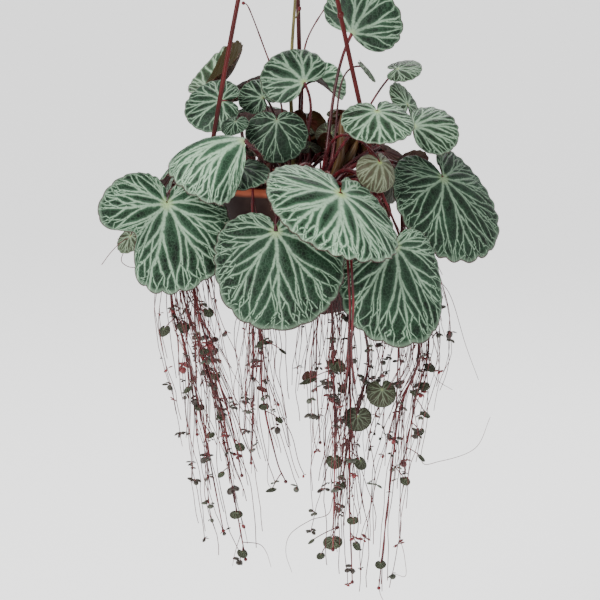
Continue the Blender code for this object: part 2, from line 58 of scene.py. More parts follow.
def meshFrom(name, shells, materials, tone=(0.5, 0.5, 0.0)):
    # Joins shells in one mesh; veins and flat become UV maps, share and tone attributes
    offset = 0
    places, groups, slots, veins, flat, share, tones = [], [], [], [], [], [], []
    for one in shells:
        corners = sum(f.size for f in one["faces"])
        places.append(one["places"])
        for faces in one["faces"]:
            groups.append(faces + offset)
            slots.append(np.full(len(faces), one["slot"]))
        veins.append(np.full((corners, 2), 9.0) if one["veins"] is None else one["veins"])
        flat.append(np.zeros((corners, 2)) if one["flat"] is None else one["flat"])
        share.append(np.full(len(one["places"]), 0.5) if one["share"] is None else one["share"])
        tones.append(np.tile([*one.get("tone", tone), 0.0], (len(one["places"]), 1)))
        if "turned" in one:
            tones[-1][:, 3] = one["turned"]
        offset += len(one["places"])
    mesh = bpy.data.meshes.new(name)
    points = toRow(np.concatenate(places))
    counts = np.concatenate([np.full(len(f), f.shape[1]) for f in groups])
    corners = np.concatenate([f.ravel() for f in groups])
    mesh.vertices.add(len(points))
    mesh.vertices.foreach_set("co", points.ravel())
    mesh.loops.add(len(corners))
    mesh.loops.foreach_set("vertex_index", corners)
    mesh.polygons.add(len(counts))
    mesh.polygons.foreach_set("loop_start", np.concatenate(([0], np.cumsum(counts)[:-1])))
    mesh.polygons.foreach_set("material_index", np.concatenate(slots))
    mesh.polygons.foreach_set("use_smooth", np.ones(len(counts), bool))
    for label, values in (("veins", veins), ("flat", flat)):
        layer = mesh.uv_layers.new(name=label)
        layer.uv.foreach_set("vector", np.concatenate(values).astype(np.float32).ravel())
    layer = mesh.attributes.new("share", "FLOAT", "POINT")
    layer.data.foreach_set("value", np.concatenate(share).astype(np.float32))
    layer = mesh.attributes.new("tone", "FLOAT_COLOR", "POINT")
    layer.data.foreach_set("color", np.concatenate(tones).astype(np.float32).ravel())
    for material in materials:
        mesh.materials.append(material)
    mesh.update(calc_edges=True)
    mesh.validate()
    return mesh


def addObject(name, data):
    made = bpy.data.objects.new(name, data)
    bpy.context.scene.collection.objects.link(made)
    return made


def plainMesh(thing):
    # The evaluated object as a mesh of its own, with the object removed
    graph = bpy.context.evaluated_depsgraph_get()
    finished = thing.evaluated_get(graph)
    mesh = bpy.data.meshes.new_from_object(finished, preserve_all_data_layers=True, depsgraph=graph)
    bpy.data.objects.remove(thing, do_unlink=True)
    return mesh


def joined(name, meshes):
    # One mesh from several, with their materials kept
    things = [addObject(f"{name}_{index}", mesh) for index, mesh in enumerate(meshes)]
    bpy.ops.object.select_all(action="DESELECT")
    for thing in things:
        thing.select_set(True)
    bpy.context.view_layer.objects.active = things[0]
    bpy.ops.object.join()
    mesh = things[0].data
    bpy.data.objects.remove(things[0], do_unlink=True)
    return mesh


def finishPiece(name, mesh, slot, *nodes):
    mesh.name = name
    piece = addObject(name, mesh)
    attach(piece, "root")
    if nodes:
        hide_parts(*nodes)
    return piece


def feed(tree, value, socket):
    if isinstance(value, bpy.types.NodeSocket):
        tree.links.new(value, socket)
    elif value is not None:
        socket.default_value = value


def addNode(tree, kind, inputs=None, **settings):
    made = tree.nodes.new(kind)
    for key, value in settings.items():
        setattr(made, key, value)
    for key, value in (inputs or {}).items():
        feed(tree, value, made.inputs[key])
    return made


def calc(tree, operation, *values, clamp=False):
    made = addNode(tree, "ShaderNodeMath", dict(enumerate(values)), operation=operation)
    made.use_clamp = clamp
    return made.outputs[0]


def vectorCalc(tree, operation, values):
    return addNode(tree, "ShaderNodeVectorMath", values, operation=operation).outputs[0]


def ease(tree, value, start, end):
    # 0 at start, 1 at end, smooth between
    made = addNode(tree, "ShaderNodeMapRange", {0: value, 1: start, 2: end, 3: 0.0, 4: 1.0})
    made.interpolation_type = "SMOOTHSTEP"
    return made.outputs[0]


def blendColour(tree, factor, first, second, kind="MIX"):
    made = addNode(tree, "ShaderNodeMix", data_type="RGBA", blend_type=kind)
    feed(tree, factor, made.inputs[0])
    for value, socket in ((first, made.inputs[6]), (second, made.inputs[7])):
        feed(tree, (*value, 1.0) if isinstance(value, tuple) else value, socket)
    return made.outputs[2]


def noise(tree, vector, scale, detail=2.0, roughness=0.5):
    inputs = {"Vector": vector, "Scale": scale, "Detail": detail, "Roughness": roughness}
    return addNode(tree, "ShaderNodeTexNoise", inputs).outputs["Fac"]


def cellEdge(tree, vector, scale):
    inputs = {"Vector": vector, "Scale": scale}
    return addNode(tree, "ShaderNodeTexVoronoi", inputs, feature="DISTANCE_TO_EDGE").outputs["Distance"]


def newMaterial(name, **sockets):
    made = bpy.data.materials.new(name)
    made.use_nodes = True
    tree = made.node_tree
    shader = tree.nodes["Principled BSDF"]
    for key, value in sockets.items():
        shader.inputs[key.replace("_", " ")].default_value = value
    coordinates = tree.nodes.new("ShaderNodeTexCoord").outputs["Object"]
    return made, tree, shader, coordinates


def addBump(tree, shader, height, strength, distance):
    inputs = {"Height": height, "Strength": strength, "Distance": distance}
    bump = addNode(tree, "ShaderNodeBump", inputs)
    tree.links.new(bump.outputs["Normal"], shader.inputs["Normal"])


def newTree(name, inputs):
    # A geometry tree with named inputs: each is (kind, default)
    tree = bpy.data.node_groups.new(name, "GeometryNodeTree")
    tree.is_modifier = True
    tree.interface.new_socket("Geometry", in_out="INPUT", socket_type="NodeSocketGeometry")
    for label, (kind, value) in inputs.items():
        socket = tree.interface.new_socket(label, in_out="INPUT", socket_type="NodeSocket" + kind)
        socket.default_value = value
    tree.interface.new_socket("Geometry", in_out="OUTPUT", socket_type="NodeSocketGeometry")
    return tree, tree.nodes.new("NodeGroupInput").outputs, tree.nodes.new("NodeGroupOutput").inputs[0]


def applyTree(name, source, tree, values):
    # Runs a geometry tree on a mesh and keeps the result as a plain mesh
    holder = addObject(name, source)
    modifier = holder.modifiers.new("build", "NODES")
    modifier.node_group = tree
    for item in tree.interface.items_tree:
        if item.in_out == "INPUT" and item.name in values:
            modifier[item.identifier] = values[item.name]
    return plainMesh(holder)


def randomValue(tree, kind, low, high, seed, **extra):
    made = addNode(tree, "FunctionNodeRandomValue", data_type=kind)
    first = {"FLOAT_VECTOR": 0, "FLOAT": 2, "INT": 4}[kind]
    feed(tree, low, made.inputs[first])
    feed(tree, high, made.inputs[first + 1])
    feed(tree, seed, made.inputs["Seed"])
    feed(tree, extra.get("key"), made.inputs["ID"])
    return made.outputs[{"FLOAT_VECTOR": 0, "FLOAT": 1, "INT": 2}[kind]]


def joinTogether(tree, *parts):
    made = tree.nodes.new("GeometryNodeJoinGeometry")
    for part in reversed(parts):
        tree.links.new(part, made.inputs[0])
    return made.outputs[0]


def finishTree(tree, geometry, material, output):
    solid = addNode(tree, "GeometryNodeRealizeInstances", {0: geometry}).outputs[0]
    painted = addNode(tree, "GeometryNodeSetMaterial", {0: solid, "Material": material}).outputs[0]
    tree.links.new(painted, output)


leafColours = {
    "deep": (0.003, 0.009, 0.004),
    "green": (0.009, 0.034, 0.014),
    "teal": (0.018, 0.052, 0.027),
    "silver": (0.36, 0.53, 0.37),
    "mist": (0.075, 0.155, 0.092),
    "heart": (0.36, 0.50, 0.12),
    "edge": (0.045, 0.022, 0.024),
    "tan": (0.23, 0.15, 0.095),
    "wine": (0.032, 0.003, 0.003),
    "olive": (0.030, 0.021, 0.006),
    "blush": (0.085, 0.017, 0.014),
    "turned": (0.026, 0.018, 0.003),
}


def makeLeafTop(name, netScale, wander):
    made, tree, shader, coordinates = newMaterial(
        name, Roughness=0.46, Specular_IOR_Level=0.18, Sheen_Weight=0.02, Sheen_Roughness=0.4
    )
    veinMap = addNode(tree, "ShaderNodeUVMap", uv_map="veins").outputs["UV"]
    flatMap = addNode(tree, "ShaderNodeUVMap", uv_map="flat").outputs["UV"]
    share = addNode(tree, "ShaderNodeAttribute", attribute_name="share").outputs["Fac"]
    toneNode = addNode(tree, "ShaderNodeAttribute", attribute_name="tone")
    tone, turned = toneNode.outputs["Color"], toneNode.outputs["Alpha"]
    silverTone, paintedLight, warmTone = addNode(tree, "ShaderNodeSeparateColor", {0: tone}).outputs[:3]
    across = addNode(tree, "ShaderNodeSeparateXYZ", {0: veinMap}).outputs[0]
    fromHeart = addNode(tree, "ShaderNodeVectorMath", {0: flatMap}, operation="LENGTH").outputs["Value"]

    wobble = calc(tree, "SUBTRACT", noise(tree, coordinates, 300.0, 4.0, 0.7), 0.5)
    distance = calc(tree, "ADD", calc(tree, "ABSOLUTE", across), calc(tree, "MULTIPLY", wobble, wander))
    reachOut = calc(tree, "ADD", calc(tree, "MULTIPLY", silverTone, 1.3), 0.55)
    distance = calc(tree, "DIVIDE", distance, reachOut)
    band = ease(tree, distance, 1.30, 0.45)
    fleck = ease(tree, noise(tree, coordinates, 620.0, 3.0, 0.65), 0.50, 0.66)
    core = ease(tree, distance, 0.75, 0.10)
    halo = ease(tree, distance, 3.4, 0.9)
    net = ease(tree, cellEdge(tree, coordinates, netScale), 0.10, 0.01)
    mottle = noise(tree, coordinates, 210.0, 4.0, 0.65)
    broad = noise(tree, coordinates, 34.0, 2.0, 0.5)

    patch = blendColour(tree, ease(tree, mottle, 0.38, 0.66), leafColours["deep"], leafColours["green"])
    tealAmount = calc(tree, "MULTIPLY", ease(tree, broad, 0.4, 0.7), 0.6)
    patch = blendColour(tree, tealAmount, patch, leafColours["teal"])
    mistAmount = calc(tree, "MULTIPLY", halo, calc(tree, "ADD", calc(tree, "MULTIPLY", silverTone, 0.8), 0.05))
    colour = blendColour(tree, mistAmount, patch, leafColours["mist"])
    netAmount = calc(tree, "MULTIPLY", net, calc(tree, "MULTIPLY", mottle, 0.55))
    colour = blendColour(tree, netAmount, colour, leafColours["mist"])
    rim = ease(tree, share, 0.93, 0.975)
    band = calc(tree, "MULTIPLY", band, calc(tree, "SUBTRACT", 1.0, calc(tree, "MULTIPLY", fleck, 0.42)))
    band = calc(tree, "ADD", calc(tree, "MULTIPLY", band, 0.78), calc(tree, "MULTIPLY", core, 0.22))
    pale = calc(tree, "MAXIMUM", band, calc(tree, "MULTIPLY", rim, 0.35))
    paleAmount = calc(tree, "MULTIPLY", pale, calc(tree, "ADD", calc(tree, "MULTIPLY", silverTone, 0.40), 0.60))
    colour = blendColour(tree, paleAmount, colour, leafColours["silver"])
    colour = blendColour(tree, calc(tree, "MULTIPLY", warmTone, 0.75), colour, leafColours["tan"], "OVERLAY")
    colour = blendColour(tree, calc(tree, "MULTIPLY", warmTone, 0.45), colour, leafColours["tan"])
    # Painted light: the second tone channel brightens leaves drawn as lit and darkens leaves drawn as lying in
    # shade; the broad noise on top is random tone
    paintedLightGain = calc(tree, "ADD", calc(tree, "MULTIPLY", paintedLight, 1.15), 0.30)
    paintedLightGain = calc(tree, "MULTIPLY", paintedLightGain, calc(tree, "ADD", calc(tree, "MULTIPLY", broad, 0.5), 0.75))
    bright = vectorCalc(tree, "SCALE", {0: colour, "Scale": paintedLightGain})
    heartTone = calc(tree, "SUBTRACT", calc(tree, "MULTIPLY", silverTone, 1.2), 0.18, clamp=True)
    heart = calc(tree, "MULTIPLY", ease(tree, fromHeart, 0.15, 0.02), heartTone)
    bright = blendColour(tree, heart, bright, leafColours["heart"])
    bright = blendColour(tree, ease(tree, share, 0.978, 0.998), bright, leafColours["edge"])
    # Painted shade: the marked part of the blade takes the dark olive of the shaded, folded-over half
    bright = blendColour(tree, ease(tree, turned, 0.35, 0.65), bright, leafColours["turned"])
    tree.links.new(bright, shader.inputs["Base Color"])

    pores = noise(tree, coordinates, 1500.0, 2.0, 0.6)
    pillow = cellEdge(tree, coordinates, netScale)
    pillows = calc(tree, "MULTIPLY", ease(tree, pillow, 0.0, 0.22), 0.8)
    height = calc(tree, "ADD", pillows, calc(tree, "MULTIPLY", pores, 0.5))
    height = calc(tree, "SUBTRACT", height, calc(tree, "MULTIPLY", band, 0.8))
    addBump(tree, shader, height, 0.55, 0.0003)
    return made


def makeLeafUnder():
    made, tree, shader, coordinates = newMaterial(
        "leafUnder", Roughness=0.65, Specular_IOR_Level=0.12
    )
    veinMap = addNode(tree, "ShaderNodeUVMap", uv_map="veins").outputs["UV"]
    tone = addNode(tree, "ShaderNodeAttribute", attribute_name="tone").outputs["Color"]
    warmTone = addNode(tree, "ShaderNodeSeparateColor", {0: tone}).outputs[2]
    across = calc(tree, "ABSOLUTE", addNode(tree, "ShaderNodeSeparateXYZ", {0: veinMap}).outputs[0])
    mottle = noise(tree, coordinates, 160.0, 4.0, 0.6)
    colour = blendColour(tree, ease(tree, mottle, 0.4, 0.7), leafColours["wine"], leafColours["olive"])
    band = ease(tree, across, 0.75, 0.25)
    colour = blendColour(tree, calc(tree, "MULTIPLY", band, 0.7), colour, leafColours["blush"])
    colour = blendColour(tree, calc(tree, "MULTIPLY", warmTone, 0.5), colour, leafColours["olive"])
    tree.links.new(colour, shader.inputs["Base Color"])
    height = calc(tree, "ADD", calc(tree, "MULTIPLY", band, 1.0), calc(tree, "MULTIPLY", mottle, 0.5))
    addBump(tree, shader, height, 0.5, 0.0003)
    return made


def makeStalkSkin(name, dark, bright, scale=120.0):
    made, tree, shader, coordinates = newMaterial(
        name, Roughness=0.40, Specular_IOR_Level=0.32, Sheen_Weight=0.04, Sheen_Roughness=0.4
    )
    streak = addNode(tree, "ShaderNodeMapping", {"Vector": coordinates, "Scale": (1.0, 1.0, 0.12)}).outputs[0]
    mottle = noise(tree, streak, scale * 4, 3.0, 0.6)
    broad = noise(tree, coordinates, scale * 0.4, 2.0, 0.5)
    mixed = calc(tree, "MULTIPLY", ease(tree, mottle, 0.3, 0.75), ease(tree, broad, 0.25, 0.75))
    colour = blendColour(tree, mixed, dark, bright)
    tree.links.new(colour, shader.inputs["Base Color"])
    addBump(tree, shader, mottle, 0.35, 0.0002)
    return made


leafTop = makeLeafTop("leafTop", 430.0, 2.2)
leafUnder = makeLeafUnder()
stalkSkin = makeStalkSkin("stalkSkin", (0.028, 0.002, 0.004), (0.15, 0.007, 0.013))
hairSkin = makeStalkSkin("hairSkin", (0.35, 0.16, 0.15), (0.62, 0.45, 0.42), 500.0)
runnerSkin = makeStalkSkin("runnerSkin", (0.040, 0.003, 0.005), (0.20, 0.008, 0.013))
threadSkin = makeStalkSkin("threadSkin", (0.050, 0.008, 0.010), (0.17, 0.040, 0.038), 60.0)
driedSkin = makeStalkSkin("driedSkin", (0.050, 0.022, 0.005), (0.115, 0.062, 0.016), 80.0)
oliveSkin = makeStalkSkin("oliveSkin", (0.075, 0.060, 0.018), (0.24, 0.21, 0.07))
print("materials for leaves and stems made")


leafBuild = {
    "largeFrom": 30.0,
    "largeGrid": (176, 34),
    "smallGrid": (112, 22),
    "thickness": 0.85,
    "marginThickness": 0.3,
    "ripple": 0.03,
    "scallopDepth": 0.036,
    "quiltDepth": 0.020,
    "veinWidth": 0.029,
    "stalkSides": 10,
    "stalkSteps": 26,
}
plantBase = {"left": (-17.0, -14.0), "right": (19.0, -15.0), "back": (1.0, 17.0)}
crownRadius = 10.0
soilLevel = -9.0
seatGap = 0.3


def leaf(name, junction, size, heading, pitch, roll=0.0, crown="left", lean=30.0,
         tone=(0.5, 0.45, 0.0), **shape):
    values = {"length": 0.3, "width": 1.08, "sinus": 172.0, "lobe": 11.0}
    values |= {"arch": 0.3, "archTip": 0.0, "archSide": 0.0, "fold": 0.0, "tilt": 0.0}
    values |= {"dents": (), "lead": 0.6, "lift": 0.0, "turned": None}
    values |= shape
    values |= {"name": name, "junction": np.array(junction, float), "size": size, "crown": crown}
    values |= {"heading": heading, "pitch": pitch, "roll": roll, "lean": lean, "tone": tone}
    return values


# Each leaf's tone is silver amount, painted light (low for leaves drawn in shade, high for lit ones) and warmth
leaves = [
    leaf("front", (31, -90, 1), 43, -88, -27, -26, "right", 40, (0.80, 0.62, 0.0), arch=0.42, length=0.22,
         width=1.15, sinus=176, lobe=16, lift=6),
    leaf("low_front", (-10, -84, -24), 38, -84, -74, 0, "right", 55, (0.42, 0.35, 0.0), arch=0.15,
         archTip=-0.2, length=0.7, width=0.98, dents=((-62, 26, 0.0, 0.10),), lead=0.9, lift=10),
    leaf("left", (-80, -70, -8), 39, -106, -68, -32, "left", 26, (0.50, 0.46, 0.0), arch=0.2, length=0.5,
         fold=-0.15, dents=((-38, 20, 0.15, 0.45),), lead=0.3, lift=8),
    leaf("low_right", (67, -66, -36), 38, -68, -74, 0, "right", 38, (0.42, 0.44, 0.0), arch=0.25,
         archSide=-0.35, length=0.76, width=0.84, dents=((52, 30, 0.0, 0.12),), lead=0.9, lift=16),
    leaf("right", (101, -13, 2), 44, -42, -56, 6, "right", 32, (0.30, 0.30, 0.0), arch=0.4, archTip=-0.2,
         width=1.0, length=0.36, lead=0.3, lift=22),
    leaf("upper_right", (81, -8, 36), 25, 0, 8, 42, "right", 50, (0.45, 0.5, 0.05), arch=0.5, sinus=100,
         lobe=3),
    leaf("right_mid", (55, -54, 50), 22, -82, -36, 0, "right", 66, (0.60, 0.56, 0.05), arch=0.4, archTip=-0.2),
    leaf("top_right", (40, 5, 97), 28, 15, 54, 62, "right", 78, (0.35, 0.33, 0.0), arch=0.2, sinus=112, lobe=4),
    leaf("spinner", (71, 12, 73), 13, -10, 10, 28, "back", 30, (0.55, 0.5, 0.1)),
    leaf("edge", (49, 6, 75), 10, 0, -45, 6, "right", 62, (0.35, 0.4, 0.2)),
    leaf("folded", (78, 12, 49), 14, 100, 55, 40, "back", 14, (0.5, 0.5, 0.1)),
    leaf("crest", (8, 10, 64), 25, 155, 42, -48, "back", 72, (0.55, 0.42, 0.0), arch=0.45, sinus=125, lobe=3),
    leaf("crest_right", (16, 46, 63), 18, -15, -25, 10, "back", 50, (1.0, 1.0, 0.0), arch=0.2, fold=-0.7),
    leaf("top_left", (-55, 48, 58), 29, 0, 34, 12, "back", 8, (0.8, 0.6, 0.15), arch=-0.6, lead=0.3,
         turned=(1.0, -0.52, -91.0)),
    leaf("tilted", (-28, 56, 61), 17, 190, -20, 25, "back", 56, (0.6, 0.5, 0.0), lead=0.3, lift=16),
    leaf("upper_left", (-47, -6, 53), 21, 175, -3, -45, "left", 46, (0.40, 0.40, 0.0), arch=0.4, lead=0.9,
         lift=11),
    leaf("behind_crest", (-20, 22, 53), 14, 150, 40, -45, "back", 44, (0.4, 0.4, 0.0), arch=0.4),
    leaf("inner", (-10, -20, 41), 17, -90, -72, 0, "left", 76, (0.22, 0.25, 0.0), arch=0.2, length=0.7),
    leaf("mid_left", (-30, -68, 33), 44, -168, 10, 0, "left", 58, (0.58, 0.60, 0.0), arch=0.95, fold=0.4,
         tilt=0.5, sinus=105, lobe=2.5, dents=((-75, 45, 0.0, 0.22),)),
    leaf("small_left", (-34, -51, 14), 19.5, -95, -22, 0, "left", 40, (0.40, 0.42, 0.0)),
    leaf("young", (57, -54, 17), 16.5, -60, -50, 0, "right", 80, (0.75, 0.36, 0.6), arch=1.0, lead=0.9,
         lift=28),
    leaf("shaded_right", (76, 6, 6), 14, 20, 30, -60, "right", 14, (0.2, 0.1, 0.4), lead=0.9, lift=8),
    leaf("grey", (-106, -40, -33), 10, -130, -50, 0, "left", 26, (0.6, 0.4, 0.3), lead=0.9, lift=16),
    leaf("shade_left", (-37, -27, 41), 9, -120, -40, 0, "left", 44, (0.3, 0.25, 0.0), lead=0.9),
    leaf("side_left", (-84, 14, -6), 31, 172, -60, 0, "left", 86, (0.4, 0.4, 0.0), lead=0.3, lift=22),
    leaf("back_left", (-68, 44, 14), 32, 150, -34, 0, "back", 26, (0.5, 0.5, 0.0), arch=0.5, lift=8),
    leaf("back_middle", (-26, 80, 0), 34, 108, -54, 0, "back", 44, (0.45, 0.42, 0.0), lead=0.9, lift=8),
    leaf("back_right", (64, 50, 14), 34, 36, -38, 0, "back", 20, (0.6, 0.5, 0.0), arch=0.4, lift=8),
    leaf("back_low", (36, 88, -20), 34, 70, -68, 0, "back", 26, (0.35, 0.38, 0.0), lead=0.9, lift=16),
    leaf("back_top_left", (-24, 62, 44), 22, 118, -8, 0, "back", 26, (0.65, 0.5, 0.0), arch=0.5, lead=0.3),
    leaf("back_top_right", (38, 50, 30), 24, 58, -12, 0, "back", 48, (0.4, 0.4, 0.0), arch=0.5),
]


# Where veins fork and how far the branch swings, for large leaves and for small ones
largeForks = (
    ((0.18, 0.58), (0.30, 0.52), (0.42, 0.42), (0.56, 0.30), (0.71, 0.19)),
    ((0.32, 0.22), (0.60, 0.15)),
    (),
)
smallForks = (
    ((0.28, 0.50), (0.46, 0.40), (0.66, 0.24)),
    ((0.50, 0.15),),
    (),
)


def direction(heading, rise):
    # Unit vector from two angles in radians
    return np.array([math.cos(heading) * math.cos(rise), math.sin(heading) * math.cos(rise), math.sin(rise)])


def leafAxes(one):
    heading, pitch, roll = (math.radians(one[key]) for key in ("heading", "pitch", "roll"))
    midrib = direction(heading, pitch)
    level = np.array([-math.sin(heading), math.cos(heading), 0.0])
    face = np.cross(midrib, level)
    across = level * math.cos(roll) + face * math.sin(roll)
    normal = face * math.cos(roll) - level * math.sin(roll)
    return midrib, across, normal


def dentShare(angle, centre, spread):
    return np.exp(-((angle - math.radians(centre)) / math.radians(spread)) ** 2)


def bladeReach(one, angle, scallops=True):
    # Distance from the junction to the margin along the blade, at angles from the midrib
    notch = np.clip(1.0 - (np.abs(angle) / math.radians(one["sinus"])) ** one["lobe"], 0.0, 1.0) ** 0.5
    reach = one["size"] * (1.0 + one["length"] * np.cos(angle))
    reach = reach / np.hypot(np.cos(angle), np.sin(angle) / one["width"])
    for centre, spread, _rise, shrink in one["dents"]:
        reach = reach * (1.0 - shrink * dentShare(angle, centre, spread))
    if scallops:
        count = 11 + 0.42 * one["size"]
        phase = one["heading"] * 0.7
        wander = angle + 0.05 * np.sin(3 * angle + phase) + 0.03 * np.sin(7 * angle - phase)
        wave = np.abs(np.sin(0.5 * count * wander + phase)) ** 0.7
        depth = leafBuild["scallopDepth"] * (1.0 + 0.4 * np.sin(2 * angle + phase))
        reach = reach * (1.0 + 0.012 * np.sin(2.3 * angle + phase) - depth * (1.0 - wave))
    return reach * notch


def bladePoints(one, angle, share):
    # Upper face without its relief: every ray from the junction is an arc with its own slope
    size = one["size"]
    along = share * bladeReach(one, angle)
    bend = one["arch"] + one["archTip"] * np.cos(angle) + one["archSide"] * np.cos(2 * angle)
    bend = np.where(np.abs(bend) > 1e-3, bend, 1e-3) / size
    slope = one["fold"] * np.sin(angle) ** 2 + one["tilt"] * np.sin(angle)
    flat = (np.sin(slope + bend * along) - np.sin(slope)) / bend
    height = (np.cos(slope + bend * along) - np.cos(slope)) / bend
    height = height + leafBuild["ripple"] * size * share ** 2 * np.sin(3 * angle)
    for centre, spread, rise, _shrink in one["dents"]:
        height = height + rise * size * share ** 2 * dentShare(angle, centre, spread)
    midrib, across, normal = leafAxes(one)
    parts = (flat * np.cos(angle), flat * np.sin(angle), height)
    return one["junction"] + sum(part[..., None] * axis for part, axis in zip(parts, (midrib, across, normal)))


def growVeins(one, seed):
    # Veins fan out from the junction and fork on the way; each row is x, y, half width at both ends
    rng = np.random.default_rng(seed)
    spread = math.radians(one["sinus"]) * 0.86
    primaries = 9 if spread > 2.2 else 7
    sector = 2 * spread / (primaries - 1)
    middle = primaries // 2
    large = one["size"] >= leafBuild["largeFrom"]
    forks = largeForks if large else smallForks
    width = leafBuild["veinWidth"] * one["size"] * (1.0 if large else 1.6)
    rows = []

    def branch(start, target, share, thick, level):
        t = np.linspace(0.0, 1.0, (9, 6, 4)[level])
        sway = np.sin(2 * math.pi * (t * rng.uniform(0.9, 2.2) + rng.random())) * t * 0.034
        path = start + (target - start) * t ** 0.72 + sway + rng.normal(0.0, 0.010, len(t)) * t
        shares = share + (1.0 - share) * t
        widths = thick * (1.0 - 0.6 * t)
        reach = shares * bladeReach(one, path, False)
        spots = np.stack([reach * np.cos(path), reach * np.sin(path)], -1)
        rows.extend((*a, *b, c, d) for a, b, c, d in zip(spots, spots[1:], widths, widths[1:]))
        side = rng.choice((-1, 1))
        for place, room in forks[level]:
            at = place + rng.uniform(-0.035, 0.035)
            side = -side
            here = start + (target - start) * at ** 0.72
            away = here + side * sector * room * rng.uniform(0.85, 1.15)
            branch(here, away, share + (1.0 - share) * at, thick * (1.0 - 0.5 * at) * 0.74, level + 1)

    for index in range(primaries):
        centre = -spread + sector * index + rng.normal(0.0, 0.04)
        thick = width * (1.25 - 0.5 * abs(index - middle) / middle)
        branch(centre * 0.97, centre, 0.01, thick, 0)
    return np.array(rows)


def nearestVein(rows, spots):
    # Index of the vein that matters most at each spot, and how many half widths away it lies
    a, run = rows[:, 0:2], rows[:, 2:4] - rows[:, 0:2]
    length = np.maximum((run ** 2).sum(-1), 1e-9)
    index = np.empty(len(spots), int)
    nearest = np.empty(len(spots))
    for start in range(0, len(spots), 1000):
        x = spots[start:start + 1000, None, 0] - a[:, 0]
        y = spots[start:start + 1000, None, 1] - a[:, 1]
        t = np.clip((x * run[:, 0] + y * run[:, 1]) / length, 0.0, 1.0)
        gap = np.hypot(x - t * run[:, 0], y - t * run[:, 1])
        measure = gap / (rows[:, 4] + (rows[:, 5] - rows[:, 4]) * t)
        index[start:start + 1000] = measure.argmin(1)
        nearest[start:start + 1000] = measure.min(1)
    return index, nearest


def acrossVein(rows, index, corners):
    # Signed distance in half widths from each corner to its face's vein
    a, b = rows[index, None, 0:2], rows[index, None, 2:4]
    run = b - a
    length = np.maximum(np.linalg.norm(run, axis=-1, keepdims=True), 1e-6)
    run = run / length
    offset = corners - a
    along = np.clip((offset * run).sum(-1) / length[..., 0], 0.0, 1.0)
    side = run[..., 0] * offset[..., 1] - run[..., 1] * offset[..., 0]
    width = rows[index, None, 4] + (rows[index, None, 5] - rows[index, None, 4]) * along
    return side / width


